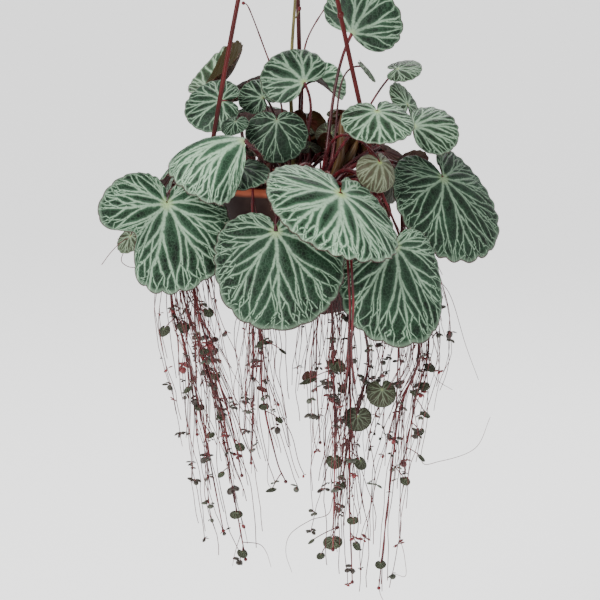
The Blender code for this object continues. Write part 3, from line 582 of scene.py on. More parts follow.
def bladeShells(one, grid, seed):
    spokes, rings = grid
    edge = math.radians(one["sinus"]) * 0.985
    angle = np.linspace(-edge, edge, spokes + 1)[:, None]
    share = (np.linspace(0.0, 1.0, rings + 1) ** 0.92)[None, :]
    angle, share = np.broadcast_arrays(angle, share)
    base = bladePoints(one, angle, np.maximum(share, 1e-4))
    reach = share * bladeReach(one, angle, False)
    flat = np.stack([reach * np.cos(angle), reach * np.sin(angle)], -1)
    normal = leafAxes(one)[2]
    outward = np.cross(np.gradient(base, axis=1), np.gradient(base, axis=0))
    outward = outward / np.maximum(np.linalg.norm(outward, axis=-1, keepdims=True), 1e-9)
    outward = np.where((outward[:, 1:2] @ normal)[..., None] < 0.0, -outward, outward)
    outward[:, 0] = normal
    rows = growVeins(one, seed)
    cells = (flat[:-1, :-1] + flat[:-1, 1:] + flat[1:, 1:] + flat[1:, :-1]).reshape(-1, 2) / 4
    vein, measure = nearestVein(rows, cells)
    vein, measure = vein.reshape(spokes, rings), measure.reshape(spokes, rings)
    around = np.pad(measure, 1, mode="edge")
    measure = (around[:-1, :-1] + around[1:, :-1] + around[:-1, 1:] + around[1:, 1:]) / 4
    pillow = 1.0 - np.exp(-(measure / 1.6) ** 2)
    fade = np.clip(share / 0.25, 0.0, 1.0) * np.clip((1.0 - share) / 0.12, 0.0, 1.0) ** 0.5
    relief = leafBuild["quiltDepth"] * one["size"] * (pillow - 0.45) * fade
    relief = relief + 0.012 * one["size"] * share ** 6 * np.sin((11 + 0.42 * one["size"]) * angle)
    scale = min(1.0, one["size"] / 20.0)
    rim, middle = leafBuild["marginThickness"], leafBuild["thickness"]
    thick = scale * (rim + (middle - rim) * (1 - share ** 4))
    top = base + outward * relief[..., None]
    low = top - outward * thick[..., None]
    top[:, 0], low[:, 0] = one["junction"], one["junction"] - normal * middle * scale
    count = (spokes + 1) * rings
    spot = np.zeros((spokes + 1, rings + 1), int)
    spot[:, 1:] = np.arange(count).reshape(spokes + 1, rings) + 1
    under = spot + count + 1
    places = np.concatenate([top[:1, 0], top[:, 1:].reshape(-1, 3), low[:1, 0], low[:, 1:].reshape(-1, 3)])
    spots = np.concatenate([flat[:1, 0], flat[:, 1:].reshape(-1, 2)])
    spots = np.concatenate([spots, spots])
    shares = np.concatenate([share[:1, 0], share[:, 1:].ravel()])
    shares = np.concatenate([shares, shares])

    def cornersOf(grid2):
        return np.stack([grid2[:-1, :-1], grid2[:-1, 1:], grid2[1:, 1:], grid2[1:, :-1]], -1)

    upper, lower = cornersOf(spot), cornersOf(under)[..., ::-1]
    margin = np.stack([spot[:-1, -1], under[:-1, -1], under[1:, -1], spot[1:, -1]], -1)
    sideA = np.stack([spot[0, :-1], under[0, :-1], under[0, 1:], spot[0, 1:]], -1)
    sideB = np.stack([spot[-1, :-1], spot[-1, 1:], under[-1, 1:], under[-1, :-1]], -1)

    def mapped(faces, index):
        corners = [spots[f] for f in faces]
        crossings = np.concatenate([acrossVein(rows, i, c).ravel() for i, c in zip(index, corners)])
        veins = np.stack([crossings, np.zeros_like(crossings)], -1)
        return veins, np.concatenate([c.reshape(-1, 2) for c in corners]) / one["size"]

    # The cells round the junction are triangles
    upperFaces = [upper[:, 0][:, [0, 1, 2]], upper[:, 1:].reshape(-1, 4)]
    lowerFaces = [lower[:, 0][:, [1, 2, 3]], lower[:, 1:].reshape(-1, 4), margin, sideA, sideB]
    sheet = vein[:, 1:].ravel()
    veins, plane = mapped(upperFaces, [vein[:, 0], sheet])
    veinsLow, planeLow = mapped(lowerFaces, [vein[:, 0], sheet, vein[:, -1], vein[0], vein[-1]])
    topShell = shell(places, upperFaces, 0, veins, plane, shares)
    lowerFaces = [f - len(places) for f in lowerFaces]
    lowShell = shell(np.zeros((0, 3)), lowerFaces, 1, veinsLow, planeLow, np.zeros(0))
    return [topShell, lowShell]


def bezier(corners, steps):
    t = np.linspace(0.0, 1.0, steps + 1)[:, None]
    level = [np.asarray(c, float) for c in corners]
    level = [np.broadcast_to(c, (steps + 1, 3)) for c in level]
    while len(level) > 1:
        level = [a + (b - a) * t for a, b in zip(level, level[1:])]
    return level[0]


def seatOnCrown(crown, towards, elevation):
    centre = np.array([*plantBase[crown], soilLevel + seatGap])
    heading = math.atan2(towards[1] - centre[1], towards[0] - centre[0])
    rise = math.radians(elevation)
    outward = direction(heading, rise)
    return centre + outward * (crownRadius + seatGap), outward


def stalkRoute(one, steps):
    midrib, _across, normal = leafAxes(one)
    start, outward = seatOnCrown(one["crown"], one["junction"], one["lean"])
    end = one["junction"] - normal * 0.5
    arrival = midrib * one["lead"] + normal * (1.0 - one["lead"])
    arrival = arrival / np.linalg.norm(arrival)
    span = np.linalg.norm(end - start)
    rise = start + outward * span * 0.4 + np.array([0.0, 0.0, one["lift"]])
    return bezier([start, rise, end - arrival * span * 0.33, end], steps)


def tubeShell(route, radii, sides, slot):
    # A tube with closed ends along the route
    route = np.asarray(route, float)
    radii = np.broadcast_to(radii, len(route))
    ahead = np.gradient(route, axis=0)
    ahead = ahead / np.linalg.norm(ahead, axis=1, keepdims=True)
    guide = np.array([0.0, 0.0, 1.0]) if abs(ahead[0][2]) < 0.9 else np.array([1.0, 0.0, 0.0])
    turns = np.linspace(0.0, 2 * math.pi, sides, endpoint=False)
    places = []
    normal = np.cross(ahead[0], guide)
    for place, direction, radius in zip(route, ahead, radii):
        normal = normal - direction * (normal @ direction)
        normal = normal / np.linalg.norm(normal)
        side = np.cross(direction, normal)
        places.append(place + radius * (np.cos(turns)[:, None] * normal + np.sin(turns)[:, None] * side))
    ring = np.arange(sides)
    after = (ring + 1) % sides
    starts = np.arange(len(route) - 1)[:, None] * sides
    quads = np.stack([starts + ring, starts + after, starts + after + sides, starts + ring + sides], -1)
    quads = quads.reshape(-1, 4)
    last = (len(route) - 1) * sides
    caps = np.stack([ring[::-1], ring + last])
    return shell(np.concatenate(places), [quads, caps], slot)


def makeHairTree():
    # Short soft hairs on the leaf stalks and round the margins
    tree, given, output = newTree("leafHairs", {
        "Hairs per area": ("Float", 380000.0),
        "Length": ("Float", 0.0016),
        "Radius": ("Float", 0.00005),
        "Seed": ("Int", 1),
    })
    share = addNode(tree, "GeometryNodeInputNamedAttribute", {"Name": "share"}, data_type="FLOAT").outputs[0]
    margin = addNode(tree, "FunctionNodeCompare", {0: share, 1: 0.985}, operation="GREATER_THAN").outputs[0]
    slot = tree.nodes.new("GeometryNodeInputMaterialIndex").outputs[0]
    stalk = addNode(tree, "FunctionNodeCompare", {2: slot, 3: 2}, data_type="INT", operation="EQUAL").outputs[0]
    chosen = addNode(tree, "FunctionNodeBooleanMath", {0: margin, 1: stalk}, operation="OR").outputs[0]
    spread = addNode(tree, "GeometryNodeDistributePointsOnFaces", {
        "Mesh": given["Geometry"], "Selection": chosen,
        "Density": given["Hairs per area"], "Seed": given["Seed"],
    })
    cone = addNode(tree, "GeometryNodeMeshCone", {
        "Vertices": 3, "Radius Top": 0.00001, "Radius Bottom": given["Radius"], "Depth": given["Length"],
    }).outputs["Mesh"]
    tilt = randomValue(tree, "FLOAT_VECTOR", (-0.5, -0.5, 0.0), (0.5, 0.5, 6.28), given["Seed"])
    turn = addNode(tree, "FunctionNodeRotateRotation", {0: spread.outputs["Rotation"], 1: tilt},
                   rotation_space="LOCAL")
    size = randomValue(tree, "FLOAT", 0.45, 1.1, given["Seed"])
    hairs = addNode(tree, "GeometryNodeInstanceOnPoints", {
        "Points": spread.outputs["Points"], "Instance": cone, "Rotation": turn.outputs[0], "Scale": size,
    }).outputs[0]
    finishTree(tree, hairs, hairSkin, output)
    return tree


def makeLeaf(order, one):
    large = one["size"] >= leafBuild["largeFrom"]
    blade = bladeShells(one, leafBuild["largeGrid" if large else "smallGrid"], 40 + order)
    if one["turned"]:
        # Past a slanting line the top face is painted olive: the folded half's underside colour with painted
        # shade on it
        x, _y, z = blade[0]["places"].T
        xShare, zShare, line = one["turned"]
        blade[0]["turned"] = np.clip((xShare * x + zShare * z - line) / 3.0 + 0.5, 0.0, 1.0)
    route = stalkRoute(one, leafBuild["stalkSteps"])
    t = np.linspace(0.0, 1.0, len(route))
    flare = 1.0 + 0.35 * (1 - t) ** 6 - 0.18 * t + 0.25 * np.clip((t - 0.93) / 0.07, 0, 1)
    stalk = tubeShell(route, (0.5 + 0.026 * one["size"]) * flare, leafBuild["stalkSides"], 2)
    mesh = meshFrom(one["name"], blade + [stalk], [leafTop, leafUnder, stalkSkin], one["tone"])
    hairs = applyTree("hairs_" + one["name"], mesh.copy(), hairTree, {"Seed": order})
    node = "leaf_" + one["name"]
    return finishPiece(node + "_blade", joined("leaf", [mesh, hairs]), "leaf", node)


hairTree = makeHairTree()
for leafOrder, leafValues in enumerate(leaves):
    makeLeaf(leafOrder, leafValues)
print("leaves made:", len(leaves))


def smoothRoute(corners, steps):
    # Catmull-Rom curve through the corners
    corners = np.asarray(corners, float)
    padded = np.concatenate([2 * corners[:1] - corners[1:2], corners, 2 * corners[-1:] - corners[-2:-1]])
    t = np.linspace(0.0, 1.0, steps, endpoint=False)[:, None]
    spans = []
    for a, b, c, d in zip(padded, padded[1:], padded[2:], padded[3:]):
        spans.append(0.5 * (2 * b + (c - a) * t + (2 * a - 5 * b + 4 * c - d) * t ** 2
                            + (3 * b - a - 3 * c + d) * t ** 3))
    return np.concatenate(spans + [corners[-1:]])


# Each runner: its crown, the lean at its seat and the places it passes
runners = {
    "left_1": ("left", 12, [(-61, -16, 4), (-69, -20, -2), (-76, -38, -36), (-71, -48, -72), (-62, -52, -100),
                            (-49, -52, -147), (-38, -52, -209), (-31, -52, -250)]),
    "left_2": ("left", 27, [(-63, -6, 5), (-71, -9, -1), (-80, -30, -36), (-79, -42, -75), (-70, -46, -108),
                            (-58, -47, -165), (-46, -46, -232)]),
    "left_3": ("left", 10, [(-58, -24, 4), (-66, -32, -3), (-68, -52, -34), (-62, -60, -75), (-54, -62, -104),
                            (-41, -61, -150), (-33, -60, -190)]),
    "front_1": ("left", 12, [(-23, -60, 4), (-25, -67, -4), (-24, -71, -50), (-20, -72, -96), (-19, -70, -133),
                             (-10, -68, -177), (-4, -68, -192)]),
    "middle_1": ("right", 10, [(30, -57, 4), (34, -64, -3), (37, -63, -40), (37, -60, -75), (38, -66, -137),
                               (38, -70, -204), (40, -70, -260)]),
    "middle_2": ("right", 24, [(42, -49, 5), (46, -55, -3), (47, -62, -40), (45, -60, -78), (50, -54, -118),
                               (37, -62, -170), (30, -62, -225)]),
    "middle_3": ("right", 12, [(17, -61, 4), (20, -68, -4), (23, -74, -46), (26, -77, -80), (27, -78, -120),
                               (28, -78, -165), (27, -76, -236)]),
    "right_1": ("right", 10, [(49, -41, 4), (57, -47, -1), (76, -54, -50), (83, -58, -109), (71, -58, -146),
                              (64, -58, -207), (58, -58, -268)]),
    "right_2": ("right", 18, [(61, -20, 4), (69, -24, -1), (84, -42, -50), (90, -50, -104), (82, -50, -140),
                              (74, -50, -185)]),
    "side_left": ("left", 14, [(-59, 22, 4), (-65, 25, -3), (-68, 22, -40), (-67, 17, -110), (-66, 13, -180)]),
    "side_right": ("right", 34, [(63, 6, 4), (70, 7, -3), (76, 8, -45), (73, 8, -120), (71, 6, -190)]),
    "back_1": ("back", 12, [(-24, 59, 4), (-27, 66, -3), (-30, 72, -45), (-28, 70, -130), (-30, 69, -215)]),
    "back_2": ("back", 12, [(18, 61, 4), (20, 68, -3), (20, 74, -60), (17, 71, -140), (20, 70, -200)]),
    "rising_left": ("back", 67, [(-7, 36, 44), (-12, 35, 66), (-18, 33, 83), (-29, 32, 112), (-33, 32, 116)]),
    "rising_right": ("back", 68, [(7, 26, 50), (9, 37, 87), (22, 37, 112), (26, 37, 117)]),
}

runnerBuild = {
    "radius": 1.1,
    "sides": 8,
    "stepsPerSpan": 8,
    "threads": 26,
    "threadRadius": 0.28,
    "spread": 17.0,
    "wave": 8.0,
    "budEvery": 10.0,
    "smallestBud": 0.35,
    "largestBud": 1.05,
}

# Larger plantlets: place, radius, which way the blade faces (heading and pitch of its midrib), painted light
# level (how lit or shaded the blade is drawn)
namedPlantlets = {
    "middle_3": [((12, -76, -121), 8.6, 165, -12, 0.04), ((29, -77, -110), 7.6, -60, -30, 0.10),
                 ((30, -75, -136), 6.0, 20, -50, 0.08), ((28, -72, -176), 6.4, -70, -55, 0.14),
                 ((32, -70, -193), 4.6, -120, -45, 0.12), ((27, -66, -232), 7.6, -95, -30, 0.30)],
    "middle_2": [((59, -64, -131), 12.0, -75, -62, 0.20), ((19, -64, -243), 3.6, -120, -40, 0.1),
                 ((13, -64, -233), 3.6, 190, -30, 0.2)],
    "middle_1": [((43, -71, -147), 10.6, -95, -72, 0.10), ((45, -72, -177), 6.2, -50, -48, 0.16),
                 ((40, -72, -216), 4.6, -100, -30, 0.2), ((43, -70, -234), 4.4, -40, -50, 0.1),
                 ((33, -68, -128), 4.6, -140, -40, 0.1)],
    "left_1": [((-50, -56, -123), 3.8, -80, -40, 0.16), ((-47, -54, -151), 4.0, -30, -30, 0.12),
               ((-47, -54, -190), 3.6, -140, -40, 0.2), ((-37, -54, -217), 5.2, -95, -25, 0.2),
               ((-33, -54, -244), 4.6, -60, -40, 0.12)],
    "left_2": [((-84, -52, -93), 5.6, -130, -50, 0.04), ((-71, -46, -92), 5.0, -70, -60, 0.05),
               ((-69, -50, -133), 4.4, -150, -40, 0.1), ((-61, -50, -145), 4.0, -90, -35, 0.1),
               ((-54, -50, -164), 3.8, -120, -35, 0.16)],
    "left_3": [((-54, -62, -79), 4.6, -60, -50, 0.08), ((-57, -62, -105), 4.0, -120, -30, 0.08),
               ((-34, -62, -169), 4.4, -60, -40, 0.16)],
    "front_1": [((-20, -73, -97), 5.0, -150, -40, 0.14), ((-6, -71, -103), 4.0, -10, -30, 0.14),
                ((-18, -70, -140), 4.0, -95, -30, 0.14), ((-8, -70, -149), 3.6, -40, -40, 0.1),
                ((-13, -70, -196), 4.8, 200, -10, 0.03)],
    "right_1": [((75, -58, -193), 4.6, -60, -40, 0.14), ((59, -60, -250), 4.4, -95, -35, 0.12),
                ((80, -60, -133), 4.0, -30, -40, 0.1)],
    "right_2": [((91, -54, -117), 5.0, -50, -40, 0.08), ((87, -54, -130), 4.4, -110, -50, 0.1),
                ((88, -52, -149), 5.0, -30, -30, 0.08), ((84, -53, -161), 4.4, -120, -40, 0.12),
                ((86, -52, -179), 4.2, -20, -40, 0.08)],
    "back_1": [((-36, 74, -96), 7.0, 120, -50, 0.2), ((-22, 74, -160), 5.0, 60, -40, 0.16)],
    "back_2": [((26, 76, -90), 6.0, 70, -50, 0.2), ((12, 75, -150), 7.0, 110, -55, 0.16)],
    "side_left": [((-74, 20, -92), 6.0, 170, -50, 0.2)],
    "side_right": [((79, 12, -100), 6.0, 20, -50, 0.2)],
}

# Loose threads that curl out beside the plant
strayThreads = [
    [(88, -47, -90), (90, -48, -150), (86, -50, -182), (98, -50, -183), (122, -46, -175), (132, -44, -154)],
    [(84, -42, -50), (96, -36, -62), (106, -30, -76), (116, -30, -108), (125, -30, -132)],
    [(91, -50, -112), (95, -53, -126), (106, -52, -134)],
    [(80, -58, -118), (78, -57, -180), (72, -56, -226), (75, -56, -246), (76, -56, -260), (69, -56, -259)],
    [(58, -58, -262), (59, -58, -272), (63, -58, -280)],
    [(27, -77, -200), (24, -68, -214), (12, -66, -219), (-1, -64, -229), (-4, -62, -242), (0, -62, -256)],
    [(-33, -52, -238), (-22, -50, -240), (-17, -50, -246), (-14, -50, -256)],
    [(-34, -52, -232), (-38, -48, -246), (-40, -48, -256)],
    [(-19, -70, -130), (-15, -69, -160), (-16, -68, -190), (-13, -68, -197)],
]

# The same beside the small grey leaf, and the thread that carries the loose bud on the right
fineStrays = [
    [(-106, -40, -34), (-112, -42, -37), (-119, -42, -44), (-125, -42, -52)],
    [(-106, -40, -36), (-112, -42, -48), (-108, -42, -53), (-101, -42, -54)],
]
budThread = [(86, -42, -56), (92, -40, -66), (98, -40, -74)]
looseBuds = {(98, -40, -74): 1.9, (-114, -42, -35): 0.4}

# Crimson stems that come down between the two low leaves in front
frontStems = [
    [(37, -84, -24), (38, -97, -46), (39, -102, -68), (38, -98, -92), (39, -86, -110), (41, -78, -124)],
    [(35, -84, -26), (36, -98, -50), (37, -101, -72), (36, -96, -94), (36, -84, -112), (34, -78, -126)],
]


def plantletVariant(seed, count):
    # A tuft of small round blades about a bud, its middle at the origin
    rng = np.random.default_rng(seed)
    shells = []
    around = np.linspace(0.0, 2 * math.pi, 9, endpoint=False)
    for index in range(count):
        turn = 2 * math.pi * index / count + rng.uniform(-0.4, 0.4)
        drop = rng.uniform(-1.1, 0.3)
        size = rng.uniform(1.5, 2.9)
        out = direction(turn, drop)
        side = np.array([-math.sin(turn), math.cos(turn), 0.0])
        face = np.cross(out, side)
        middle = out * (size + rng.uniform(0.4, 2.0))
        ring = middle + size * (np.cos(around)[:, None] * out + np.sin(around)[:, None] * side)
        inner = middle + 0.55 * size * (np.cos(around)[:, None] * out + np.sin(around)[:, None] * side)
        inner = inner + face * 0.28 * size
        apex = middle - out * size * 0.15 + face * 0.34 * size
        under = middle - face * 0.10
        places = np.concatenate([[apex], inner, ring, [under]])
        a = np.arange(9)
        b = (a + 1) % 9
        fan = np.stack([np.zeros(9, int), a + 1, b + 1], -1)
        belt = np.stack([a + 1, a + 10, b + 10, b + 1], -1)
        back = np.stack([np.full(9, 19), b + 10, a + 10], -1)
        shells.append(shell(places, [np.concatenate([fan, back]), belt], 0, share=np.full(20, 0.2)))
        stem = tubeShell(np.array([out * 0.2, (out * 0.2 + under) / 2, under]), 0.22, 4, 0)
        stem["share"] = np.full(len(stem["places"]), 0.9)
        shells.append(stem)
    mesh = meshFrom(f"tuft_{seed}", shells, [plantletSkin])
    mesh.transform(Matrix.Translation((0.0, 0.0, rimDrop * mm)))
    return mesh


def makeHangingTree():
    # Fine threads that leave a runner and hang beside it, with tufts and red buds along them
    tree, given, output = newTree("hangingThreads", {
        "Threads": ("Int", 12),
        "Spread": ("Float", 0.012),
        "Thread radius": ("Float", 0.0002),
        "Wave": ("Float", 0.006),
        "Tuft spacing": ("Float", 0.012),
        "Smallest tuft": ("Float", 0.6),
        "Largest tuft": ("Float", 1.3),
        "Seed": ("Int", 1),
    })
    guide = addNode(tree, "GeometryNodeMeshToCurve", {"Mesh": given["Geometry"]}).outputs[0]
    guide = addNode(tree, "GeometryNodeResampleCurve", {"Curve": guide, "Count": 44}).outputs[0]
    copies = addNode(tree, "GeometryNodeDuplicateElements", {"Geometry": guide, "Amount": given["Threads"]},
                     domain="SPLINE")
    which = copies.outputs["Duplicate Index"]
    along = tree.nodes.new("GeometryNodeSplineParameter").outputs["Factor"]
    seed = given["Seed"]
    leave = randomValue(tree, "FLOAT", 0.16, 0.62, seed, key=which)
    away = randomValue(tree, "FLOAT_VECTOR", (-1.0, -0.7, -0.3), (1.0, 0.7, 0.3),
                       calc(tree, "ADD", seed, 31), key=which)
    gone = calc(tree, "DIVIDE", calc(tree, "SUBTRACT", along, leave), 0.34)
    gone = ease(tree, gone, 0.0, 1.0)
    place = tree.nodes.new("GeometryNodeInputPosition").outputs[0]
    phase = calc(tree, "ADD", calc(tree, "MULTIPLY", which, 7.31), seed)
    ripple = addNode(tree, "ShaderNodeTexNoise", {"Vector": place, "W": phase, "Scale": 22.0, "Detail": 1.5},
                     noise_dimensions="4D").outputs["Color"]
    ripple = vectorCalc(tree, "SUBTRACT", {0: ripple, 1: (0.5, 0.5, 0.5)})
    ripple = vectorCalc(tree, "SCALE", {0: ripple, "Scale": calc(tree, "MULTIPLY", given["Wave"], 2.0)})
    shift = vectorCalc(tree, "SCALE", {0: away, "Scale": given["Spread"]})
    shift = vectorCalc(tree, "ADD", {0: shift, 1: ripple})
    shift = vectorCalc(tree, "SCALE", {0: shift, "Scale": gone})
    copied = copies.outputs[0]
    moved = addNode(tree, "GeometryNodeSetPosition", {"Geometry": copied, "Offset": shift}).outputs[0]
    stretch = randomValue(tree, "FLOAT", 0.2, 0.62, calc(tree, "ADD", seed, 57), key=which)
    until = calc(tree, "ADD", leave, stretch)
    trim = addNode(tree, "GeometryNodeTrimCurve", {0: moved}, mode="FACTOR")
    feed(tree, calc(tree, "SUBTRACT", leave, 0.02), trim.inputs[2])
    feed(tree, calc(tree, "MINIMUM", until, 1.0), trim.inputs[3])
    threads = trim.outputs[0]
    circle = addNode(tree, "GeometryNodeCurvePrimitiveCircle", {
        "Resolution": 4, "Radius": given["Thread radius"],
    })
    skin = addNode(tree, "GeometryNodeCurveToMesh", {"Curve": threads, "Profile Curve": circle.outputs[0],
                                                     "Fill Caps": True}).outputs[0]
    skin = addNode(tree, "GeometryNodeSetMaterial", {0: skin, "Material": threadSkin}).outputs[0]

    # Tufts on the threads and the runner, each one turned and sized at random
    both = joinTogether(tree, threads, guide)
    spots = addNode(tree, "GeometryNodeCurveToPoints", {"Curve": both, "Length": given["Tuft spacing"]},
                    mode="LENGTH")
    here = tree.nodes.new("GeometryNodeInputPosition").outputs[0]
    height = addNode(tree, "ShaderNodeSeparateXYZ", {0: here}).outputs[2]
    chance = randomValue(tree, "FLOAT", 0.0, 1.0, calc(tree, "ADD", seed, 5))
    drop = addNode(tree, "FunctionNodeCompare", {0: chance, 1: 0.11}, operation="GREATER_THAN").outputs[0]
    high = addNode(tree, "FunctionNodeCompare", {0: height, 1: -0.405}, operation="GREATER_THAN").outputs[0]
    drop = addNode(tree, "FunctionNodeBooleanMath", {0: drop, 1: high}, operation="OR").outputs[0]
    spots = addNode(tree, "GeometryNodeDeleteGeometry", {
        "Geometry": spots.outputs["Points"], "Selection": drop,
    }, domain="POINT").outputs[0]
    tufts = [addNode(tree, "GeometryNodeObjectInfo", {"Object": one, "As Instance": True}).outputs["Geometry"]
             for one in tuftObjects]
    pick = randomValue(tree, "INT", 0, len(tufts) - 1, calc(tree, "ADD", seed, 9))
    turn = randomValue(tree, "FLOAT_VECTOR", (-0.5, -0.5, 0.0), (0.5, 0.5, 6.28), calc(tree, "ADD", seed, 13))
    sizeSeed = calc(tree, "ADD", seed, 17)
    size = randomValue(tree, "FLOAT", given["Smallest tuft"], given["Largest tuft"], sizeSeed)
    grown = addNode(tree, "GeometryNodeInstanceOnPoints", {
        "Points": spots, "Instance": joinTogether(tree, *tufts), "Pick Instance": True, "Instance Index": pick,
        "Rotation": turn, "Scale": size,
    }).outputs[0]
    tint = randomValue(tree, "FLOAT", 0.0, 1.0, calc(tree, "ADD", seed, 21))
    grown = addNode(tree, "GeometryNodeStoreNamedAttribute", {"Geometry": grown, "Name": "tint", "Value": tint},
                    data_type="FLOAT", domain="INSTANCE").outputs[0]
    grown = addNode(tree, "GeometryNodeRealizeInstances", {0: grown}).outputs[0]
    grown = addNode(tree, "GeometryNodeSetMaterial", {0: grown, "Material": plantletSkin}).outputs[0]
    solid = addNode(tree, "GeometryNodeRealizeInstances", {0: joinTogether(tree, skin, grown)}).outputs[0]
    tree.links.new(solid, output)
    return tree


def routeMesh(name, route):
    mesh = bpy.data.meshes.new(name)
    mesh.from_pydata(toRow(route).tolist(), [(i, i + 1) for i in range(len(route) - 1)], [])
    return mesh


def smallBlade(order, place, size, heading, pitch, paintedLightLevel):
    one = leaf(f"plantlet_{order}", place, size * 0.86, heading, pitch, 0, arch=0.5, length=0.18, width=1.05)
    shells = bladeShells(one, (44, 9), 300 + order)
    for part in shells:
        # Painted light: the middle tone value sets how lit or shaded the small blade is drawn
        part["tone"] = (0.35, paintedLightLevel, 0.45)
    return shells, one


def makeRunner(order, name):
    crown, lean, places = runners[name]
    seat, outward = seatOnCrown(crown, places[0], lean)
    hanging = not name.startswith("rising")
    corners = [seat, seat + outward * (6 if hanging else 14)] + places
    route = smoothRoute(corners, runnerBuild["stepsPerSpan"])
    t = np.linspace(0.0, 1.0, len(route))
    knots = 1.0 + 0.35 * np.exp(-((t * 9 % 1.0 - 0.5) / 0.12) ** 2)
    radius = runnerBuild["radius"] * (1.0 - 0.62 * t) * knots
    if not hanging:
        radius = radius * 0.8
    shells = [tubeShell(route, radius, runnerBuild["sides"], 2)]
    tip = route[-1]
    shells.append(ballShell(tip, 1.3, 2))
    for index, (place, size, heading, pitch, paintedLightLevel) in enumerate(namedPlantlets.get(name, [])):
        parts, one = smallBlade(order * 10 + index, place, size, heading, pitch, paintedLightLevel)
        shells.extend(parts)
        near = route[np.linalg.norm(route - (np.array(place) + [0, 0, 6.0]), axis=1).argmin()]
        under = one["junction"] - leafAxes(one)[2] * 0.4
        bow = (near + under) / 2 + np.array([0.0, -0.5, 1.5])
        shells.append(tubeShell(bezier([near, bow, under], 6), 0.36, 6, 2))
    mesh = meshFrom(name, shells, [plantletTop, leafUnder, runnerSkin], (0.35, 0.12, 0.45))
    meshes = [mesh]
    if hanging:
        values = {"Threads": runnerBuild["threads"], "Spread": runnerBuild["spread"] * mm,
                  "Thread radius": runnerBuild["threadRadius"] * mm, "Wave": runnerBuild["wave"] * mm,
                  "Tuft spacing": runnerBuild["budEvery"] * mm, "Smallest tuft": runnerBuild["smallestBud"],
                  "Largest tuft": runnerBuild["largestBud"], "Seed": 11 + order}
        meshes.append(applyTree("threads_" + name, routeMesh(name + "_guide", route), hangingTree, values))
    return finishPiece("runner_" + name + "_grown", joined(name, meshes), "runner", "runner_" + name)


def ballShell(centre, radius, slot, squash=1.0, across=10, down=6):
    turns = np.linspace(0.0, 2 * math.pi, across, endpoint=False)
    levels = np.linspace(0.0, math.pi, down + 1)[1:-1]
    rings = [np.stack([np.sin(v) * np.cos(turns), np.sin(v) * np.sin(turns),
                       np.full(across, np.cos(v) * squash)], -1)
             for v in levels]
    places = np.concatenate([[[0, 0, squash]], *rings, [[0, 0, -squash]]]) * radius + np.asarray(centre, float)
    a = np.arange(across)
    b = (a + 1) % across
    top = np.stack([np.zeros(across, int), a + 1, b + 1], -1)
    last = 1 + (down - 2) * across
    bottom = np.stack([np.full(across, len(places) - 1), b + last, a + last], -1)
    starts = 1 + np.arange(down - 2)[:, None] * across
    belts = np.stack([starts + a, starts + a + across, starts + b + across, starts + b], -1).reshape(-1, 4)
    return shell(places, [np.concatenate([top, bottom]), belts], slot)


def makePlantletSkin():
    made, tree, shader, coordinates = newMaterial(
        "plantletSkin", Roughness=0.5, Specular_IOR_Level=0.3, Sheen_Weight=0.08, Sheen_Roughness=0.4
    )
    share = addNode(tree, "ShaderNodeAttribute", attribute_name="share").outputs["Fac"]
    tint = addNode(tree, "ShaderNodeAttribute", attribute_name="tint").outputs["Fac"]
    mottle = noise(tree, coordinates, 900.0, 2.0, 0.6)
    colour = blendColour(tree, ease(tree, tint, 0.2, 0.8), (0.030, 0.022, 0.018), (0.075, 0.085, 0.062))
    colour = blendColour(tree, ease(tree, tint, 0.72, 0.8), colour, (0.16, 0.022, 0.026))
    bloom = calc(tree, "MULTIPLY", ease(tree, mottle, 0.5, 0.7), 0.4)
    colour = blendColour(tree, bloom, colour, (0.17, 0.19, 0.15))
    colour = blendColour(tree, ease(tree, share, 0.6, 0.8), colour, (0.16, 0.020, 0.024))
    tree.links.new(colour, shader.inputs["Base Color"])
    addBump(tree, shader, mottle, 0.4, 0.0002)
    return made


plantletSkin = makePlantletSkin()
plantletTop = makeLeafTop("plantletTop", 900.0, 1.3)
tuftObjects = [addObject(f"tuft_{index}", plantletVariant(70 + index, 3 + index % 3)) for index in range(5)]
hangingTree = makeHangingTree()
for runnerOrder, runnerName in enumerate(runners):
    makeRunner(runnerOrder, runnerName)
print("runners made:", len(runners))


def makeStrays():
    shells = []
    for places in frontStems:
        route = smoothRoute(places, 8)
        shells.append(tubeShell(route, 0.85 - 0.2 * np.linspace(0.0, 1.0, len(route)), 8, 1))
    for places in strayThreads:
        route = smoothRoute(places, 10)
        t = np.linspace(0.0, 1.0, len(route))
        shells.append(tubeShell(route, 0.32 * (1.0 - 0.5 * t), 6, 0))
    for place, size in looseBuds.items():
        shells.append(ballShell(place, size, 1))
    for places in fineStrays:
        shells.append(tubeShell(smoothRoute(places, 8), 0.28, 6, 0))
    shells.append(tubeShell(smoothRoute(budThread, 8), 0.3, 6, 0))
    mesh = meshFrom("strays", shells, [threadSkin, runnerSkin])
    return finishPiece("stray_threads", mesh, "runner")


makeStrays()
for one in tuftObjects:
    bpy.data.objects.remove(one, do_unlink=True)


